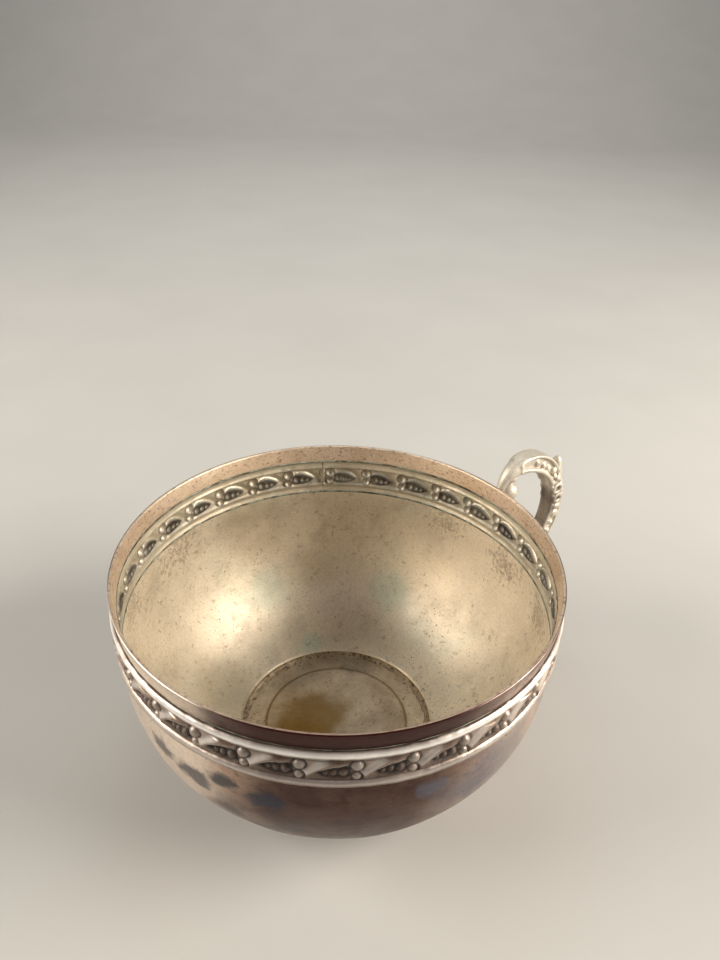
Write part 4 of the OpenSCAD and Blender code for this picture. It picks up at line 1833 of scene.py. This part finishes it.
    def _pearl_places(self) -> tuple[Array, Array]:
        """Sets out the pearls, and the ball with its neck and the lobe.

        Returns:
            Their places and half sizes.
        """
        spots, sizes = [], []
        for side in (-1, 1):
            for along, out, *size in self.pearls:
                t = self.turn_at(along)
                spots.append(self.at(t, out, side * (self.half_width(t) - self.pearl_sunk)))
                sizes.append(size)
        x, z, radius = self.ball
        neck = (x - self.neck[0], 0.0, z + self.neck[1])
        spots += [(x, 0.0, z), neck, (self.lobe[0], 0.0, self.lobe[1])]
        sizes += [(radius, radius, radius), self.neck[2:], self.lobe[2:]]
        return np.array(spots), np.array(sizes)

    def _pearl_tree(self) -> Tree:
        """Builds the tree that sets a ball of the given size on every point.

        Returns:
            The tree.
        """
        inputs = {"Points": "Geometry", "Subdivisions": "Int", "Metal": "Material"}
        tree, given = node_tree("Graded pearls", inputs)
        add = partial(add_node, tree)
        ball = add("GeometryNodeMeshIcoSphere", {"Radius": 1.0, "Subdivisions": given["Subdivisions"]})
        size = add("GeometryNodeInputNamedAttribute", {"Name": "half_size"}, data_type="FLOAT_VECTOR")
        feeds = {"Points": given["Points"], "Instance": ball, "Scale": size}
        real = add("GeometryNodeRealizeInstances", {"Geometry": add("GeometryNodeInstanceOnPoints", feeds)})
        done = add("GeometryNodeSetMaterial", {"Geometry": real, "Material": given["Metal"]})
        add("NodeGroupOutput", {0: done})
        return tree

    def _pearls(self, metal: Material) -> Piece:
        """Sets the pearls with nodes.

        Args:
            metal: Their material.

        Returns:
            The pearls as one piece.
        """
        spots, sizes = self._pearl_places()
        mesh = bpy.data.meshes.new("pearls")
        mesh.from_pydata((spots * MM).tolist(), [], [])
        values = (sizes * MM).ravel().astype(np.float32)
        mesh.attributes.new("half_size", "FLOAT_VECTOR", "POINT").data.foreach_set("vector", values)
        return grown(placed("pearls", mesh), self._pearl_tree(), {"Subdivisions": 3, "Metal": metal})

    def _beside(self, alongs: Array, outs: Array, side: int, sunk: float) -> Array:
        """Draws a path on a side of the strap.

        Args:
            alongs: Ways along past the arch.
            outs: Ways out from the middle line.
            side: Side of the handle, -1 or 1.
            sunk: Depth of the path below the side.

        Returns:
            Points of the path.
        """
        turns = [self.turn_at(along) for along in alongs]
        return np.array([self.at(t, out, side * (self.half_width(t) - sunk)) for t, out in zip(turns, outs)])

    def _trim(self) -> list[Piece]:
        """Makes the raised rims of the panels, the cuff, the rings on the leg and the spur.

        Returns:
            The bars.
        """
        made = []
        bow = np.linspace(0, 1, 14)
        turn = np.linspace(0, 2 * math.pi, 26)
        for side in (-1, 1):
            # Rim along the panel's inner edge
            run = np.linspace(-1.9, 15.9, 34)
            outs = np.interp(run, [-1.9, 1, 4, 16], [-0.9, -1.55, -1.95, -2.15])
            radii = np.interp(run, [-1.9, 2, 16], [0.4, 0.62, 0.75])
            made.append(self._tube("rim", self._beside(run, outs, side, 0.25), radii))
            # Raised edge along its outer side
            run = np.linspace(-1.9, 14.5, 32)
            outs = np.interp(run, [-1.9, 1, 4, 9, 13, 15], [1.3, 1.85, 2.0, 1.8, 1.45, 1.5])
            radii = np.interp(run, [-1.9, 2, 15], [0.35, 0.42, 0.45])
            made.append(self._tube("edge", self._beside(run, outs, side, 0.3), radii))
            # Bowed cuff before the arch, then the rings
            cuff = -2.3 - 0.9 * np.sin(math.pi * bow) * (bow - 0.2)
            made.append(self._tube("cuff", self._beside(cuff, 1.4 - 2.6 * bow, side, 0.2), np.full(14, 0.4)))
            for along, out, tall, wide, thick in self.rings:
                ring = self._beside(along + tall * np.cos(turn), out + wide * np.sin(turn), side, 0.2)
                made.append(self._tube("ring", ring, np.full(26, thick)))
        foot = self.at(self.turn_at(self.spur_at[1]), 0.0, 0.0) + (0.75, 0.0, -0.4)
        rise = np.linspace(0, 1, 24)
        spur = foot + np.stack([0.1 + 0.5 * rise, 0 * rise, self.spur_l * rise], axis=-1)
        tip = np.sqrt(np.clip(1 - (np.clip(rise - 0.78, 0, 1) / 0.221) ** 2, 0.02, 1))
        made.append(self._tube("spur", spur, np.interp(rise, (0, 1), self.spur_r) * tip, 24))
        return made

    def build(self, metal: Material) -> Piece:
        """Fuses the casting into one skin and fits it to the cup.

        Args:
            metal: Material that the pearls' tree sets.

        Returns:
            The handle.
        """
        work = bmesh.new()
        for part in (self._strap(), self._pearls(metal), *self._trim()):
            work.from_mesh(part.data)
            bpy.data.objects.remove(part)
        mesh = bpy.data.meshes.new("scroll_handle")
        work.to_mesh(mesh)
        work.free()
        piece = placed("scroll_handle", mesh)
        fuse = piece.modifiers.new("Fuse", "REMESH")
        fuse.mode, fuse.voxel_size = "VOXEL", self.voxel * MM
        even = piece.modifiers.new("Even", "SMOOTH")
        even.factor, even.iterations = 0.5, 4
        mesh = baked(piece).data
        points = read(mesh.vertices, "co", 3)
        radius = polar(points)[1]
        least = (self.cup.outer_at(points[:, 2] / MM) - self.overlap) * MM
        inside = (radius < least) & (points[:, 2] < self.cup.height * MM)
        mesh.vertices.foreach_set("co", at_radius(points, np.where(inside, least, radius)).ravel())
        mesh.shade_smooth()
        mesh.update()
        wear_marks(mesh, self.blur)
        return piece

    def build_solder(self, name: str, heights: tuple[float, float], edge: float, seed: float) -> Piece:
        """Runs a fillet of solder down both sides of a root, out past the strap's full width.

        Args:
            name: Name of the piece.
            heights: Where the fillets start and end.
            edge: Half the width of the root between them.
            seed: Shifts their unevenness.

        Returns:
            The two fillets as one piece.
        """
        reach = self.width / 2 + self.fillet_w - edge
        levels = np.linspace(*heights, 22)
        turn = np.linspace(0, math.pi / 2, 6)
        size = len(turn) + 2
        points, faces = [], []
        for side in (-1, 1):
            faces += loft(len(levels), size, len(points))
            for k, z in enumerate(levels):
                share = math.sin(math.pi * (k + 0.15) / (len(levels) - 0.7)) ** 0.5
                wide = share * (reach + self.uneven[0] * math.sin(seed + 2.1 * k + side))
                deep = share * (self.fillet_d + self.uneven[1] * math.sin(2 * seed + 1.7 * k))
                radius = float(self.cup.outer_at(np.array(z)))
                hollow = [(deep * (1 - math.sin(a)), wide * (1 - math.cos(a))) for a in turn]
                for out, across in [(-self.fillet_in, -0.1), *hollow, (-self.fillet_in, wide)]:
                    y = edge - 0.05 + across
                    points.append((math.sqrt(max((radius + out) ** 2 - y * y, 0)), side * y, z))
        return mesh_object(name, np.array(points), faces)

    def dress(self, piece: Piece, metal: Material) -> None:
        """Gives the handle its finish."""
        dress(piece, "handle", Slot.HANDLE, metal)

    def dress_solder(self, piece: Piece, node: str) -> None:
        """Gives a root's solder its finish."""
        dress(piece, node, Slot.HANDLE_SOLDER, HANDLE_SOLDER.material())


@dataclass
class Studio:
    """Floor, lights and camera.

    Attributes:
        eye: Place of the camera in millimetres.
        pitch: How far the camera looks down, in degrees.
        heading: Direction that it looks in, in degrees from +Y towards +X.
        roll: Its roll in degrees.
        sensor: Width of the camera's sensor.
        focal: Focal length as a share of that width.
        gap: How far the floor lies below the foot, so that the two faces don't share a plane.
        front: How far the floor comes to the front.
        back: Where it starts to bend up behind the cup.
        bend_r: Radius of the bend.
        wall_h: Height of the wall behind the cup.
        half_w: Half the floor's width.
    """

    eye: tuple[float, float, float] = (-82.21, -113.86, 163.51)
    pitch: float = 32.168
    heading: float = 37.5
    roll: float = 1.875
    sensor: float = 36.0
    focal: float = 790.0 / 960
    gap: float = 0.02
    front: float = 2500.0
    back: float = 900.0
    bend_r: float = 700.0
    wall_h: float = 3000.0
    half_w: float = 3500.0

    def camera(self) -> None:
        """Makes the camera at the photograph's angle."""
        data = bpy.data.cameras.new("camera")
        data.sensor_width, data.lens = self.sensor, self.sensor * self.focal
        data.clip_start, data.clip_end = 0.005, 50.0
        camera = placed("camera", data)
        h, p, r = (math.radians(a) for a in (self.heading, self.pitch, self.roll))
        right = Vector((math.cos(h), -math.sin(h), 0))
        ahead = Vector((math.sin(h) * math.cos(p), math.cos(h) * math.cos(p), -math.sin(p)))
        up = right.cross(ahead)
        tilted = right * math.cos(r) + up * math.sin(r)
        upright = up * math.cos(r) - right * math.sin(r)
        turn = Matrix((tilted, upright, -ahead)).transposed().to_4x4()
        camera.matrix_world = Matrix.Translation(Vector(self.eye) * MM) @ turn
        bpy.context.scene.camera = camera

    def _around(self, turn: float, rise: float, far: float) -> Vector:
        """Place at a turn from the camera's heading, a rise and a distance, all from the cup."""
        h, up = math.radians(self.heading + turn), math.radians(rise)
        return Vector((math.sin(h) * math.cos(up), math.cos(h) * math.cos(up), math.sin(up))) * far

    def floor(self) -> None:
        """Lays the pale floor, which sweeps up to a wall behind the cup."""
        h, r = math.radians(self.heading), self.bend_r
        ahead, right = np.array([math.sin(h), math.cos(h)]), np.array([math.cos(h), -math.sin(h)])
        turns = np.linspace(0, math.pi / 2, 24)
        bend = [(self.back + r * math.sin(a), r - r * math.cos(a)) for a in turns]
        profile = [(-self.front, 0.0), *bend, (self.back + r, self.wall_h)]
        sides = (-self.half_w, self.half_w)
        points = [(*(ahead * far + right * side), up - self.gap) for far, up in profile for side in sides]
        faces = [(2 * i, 2 * i + 1, 2 * i + 3, 2 * i + 2) for i in range(len(profile) - 1)]
        floor = mesh_object("floor", np.array(points), faces)
        if floor.data.polygons[0].normal.z < 0:
            floor.data.flip_normals()
        floor.data.materials.append(PaleFloor().material())

    def lights(self) -> None:
        """Sets a soft light at each side, weak ones over the cup and in front, and one on the backdrop."""
        cup = Vector((0, 0, 30))
        # Each row: name, place, aim, size, power in watts and colour
        for name, at, aim, size, power, colour in (
            ("left", self._around(-99, 30, 650), cup, 420, 4.9, "#FFFAF2"),
            ("right", self._around(99, 30, 650), cup, 420, 7.4, "#FFF9F0"),
            ("overhead", self._around(0, 62, 650), cup, 300, 0.5, "#F2FBFF"),
            ("front", self._around(180, 45, 800), cup, 400, 0.4, "#F4F4FF"),
            ("backdrop", self._around(0, 60, 1100), self._around(0, 10, 1600), 900, 9.0, "#FFFFFF"),
        ):
            data = bpy.data.lights.new(name, "AREA")
            data.shape, data.size = "DISK", size * MM
            data.energy, data.color = power, srgb(colour)[:3]
            light = placed(name, data)
            light.location = at * MM
            light.rotation_euler = (aim - at).to_track_quat("-Z", "Y").to_euler()
        world = bpy.data.worlds.new("room")
        add = partial(add_node, bare_tree(world))
        sky = add("ShaderNodeBackground", {"Color": srgb("#C4C2BE"), "Strength": 0.05})
        add("ShaderNodeOutputWorld", {"Surface": sky})
        bpy.context.scene.world = world
        bpy.context.scene.view_settings.view_transform = "Standard"


def main() -> None:
    """Builds and dresses the cup, piece by piece, and sets the studio."""
    logging.basicConfig(level=logging.INFO, format="%(name)s: %(message)s")
    cup = CupSizes()
    lip = Lip(cup)
    lip.dress(lip.build())
    bowl = Bowl(cup)
    bowl.dress(bowl.build())
    base = Base(cup)
    base.dress(base.build_disc(), base.build_solder())
    seams = Seams(cup)
    seams.dress(seams.build("lip_solder_line", cup.strip_top, cup.lip_z, seed=0.9), "lip_seam")
    seams.dress(seams.build("bowl_solder_line", cup.bowl_top, cup.strip_low, seed=2.3), "strip_seam")
    border = BorderStrip(cup)
    border.dress(border.build(ROLLED.material(), ROLLED_BACK.material()), border.build_joint())
    handle = Handle(cup)
    metal = CAST.material()
    handle.dress(handle.build(metal), metal)
    upper = handle.build_solder("upper_root_solder", handle.upper, handle.root_w / 2, seed=0.8)
    handle.dress_solder(upper, "upper_solder")
    lower = handle.build_solder("lower_root_solder", handle.lower, handle.width / 2, seed=1.9)
    handle.dress_solder(lower, "lower_solder")
    studio = Studio()
    studio.floor()
    studio.lights()
    studio.camera()


if __name__ == "__main__":
    main()
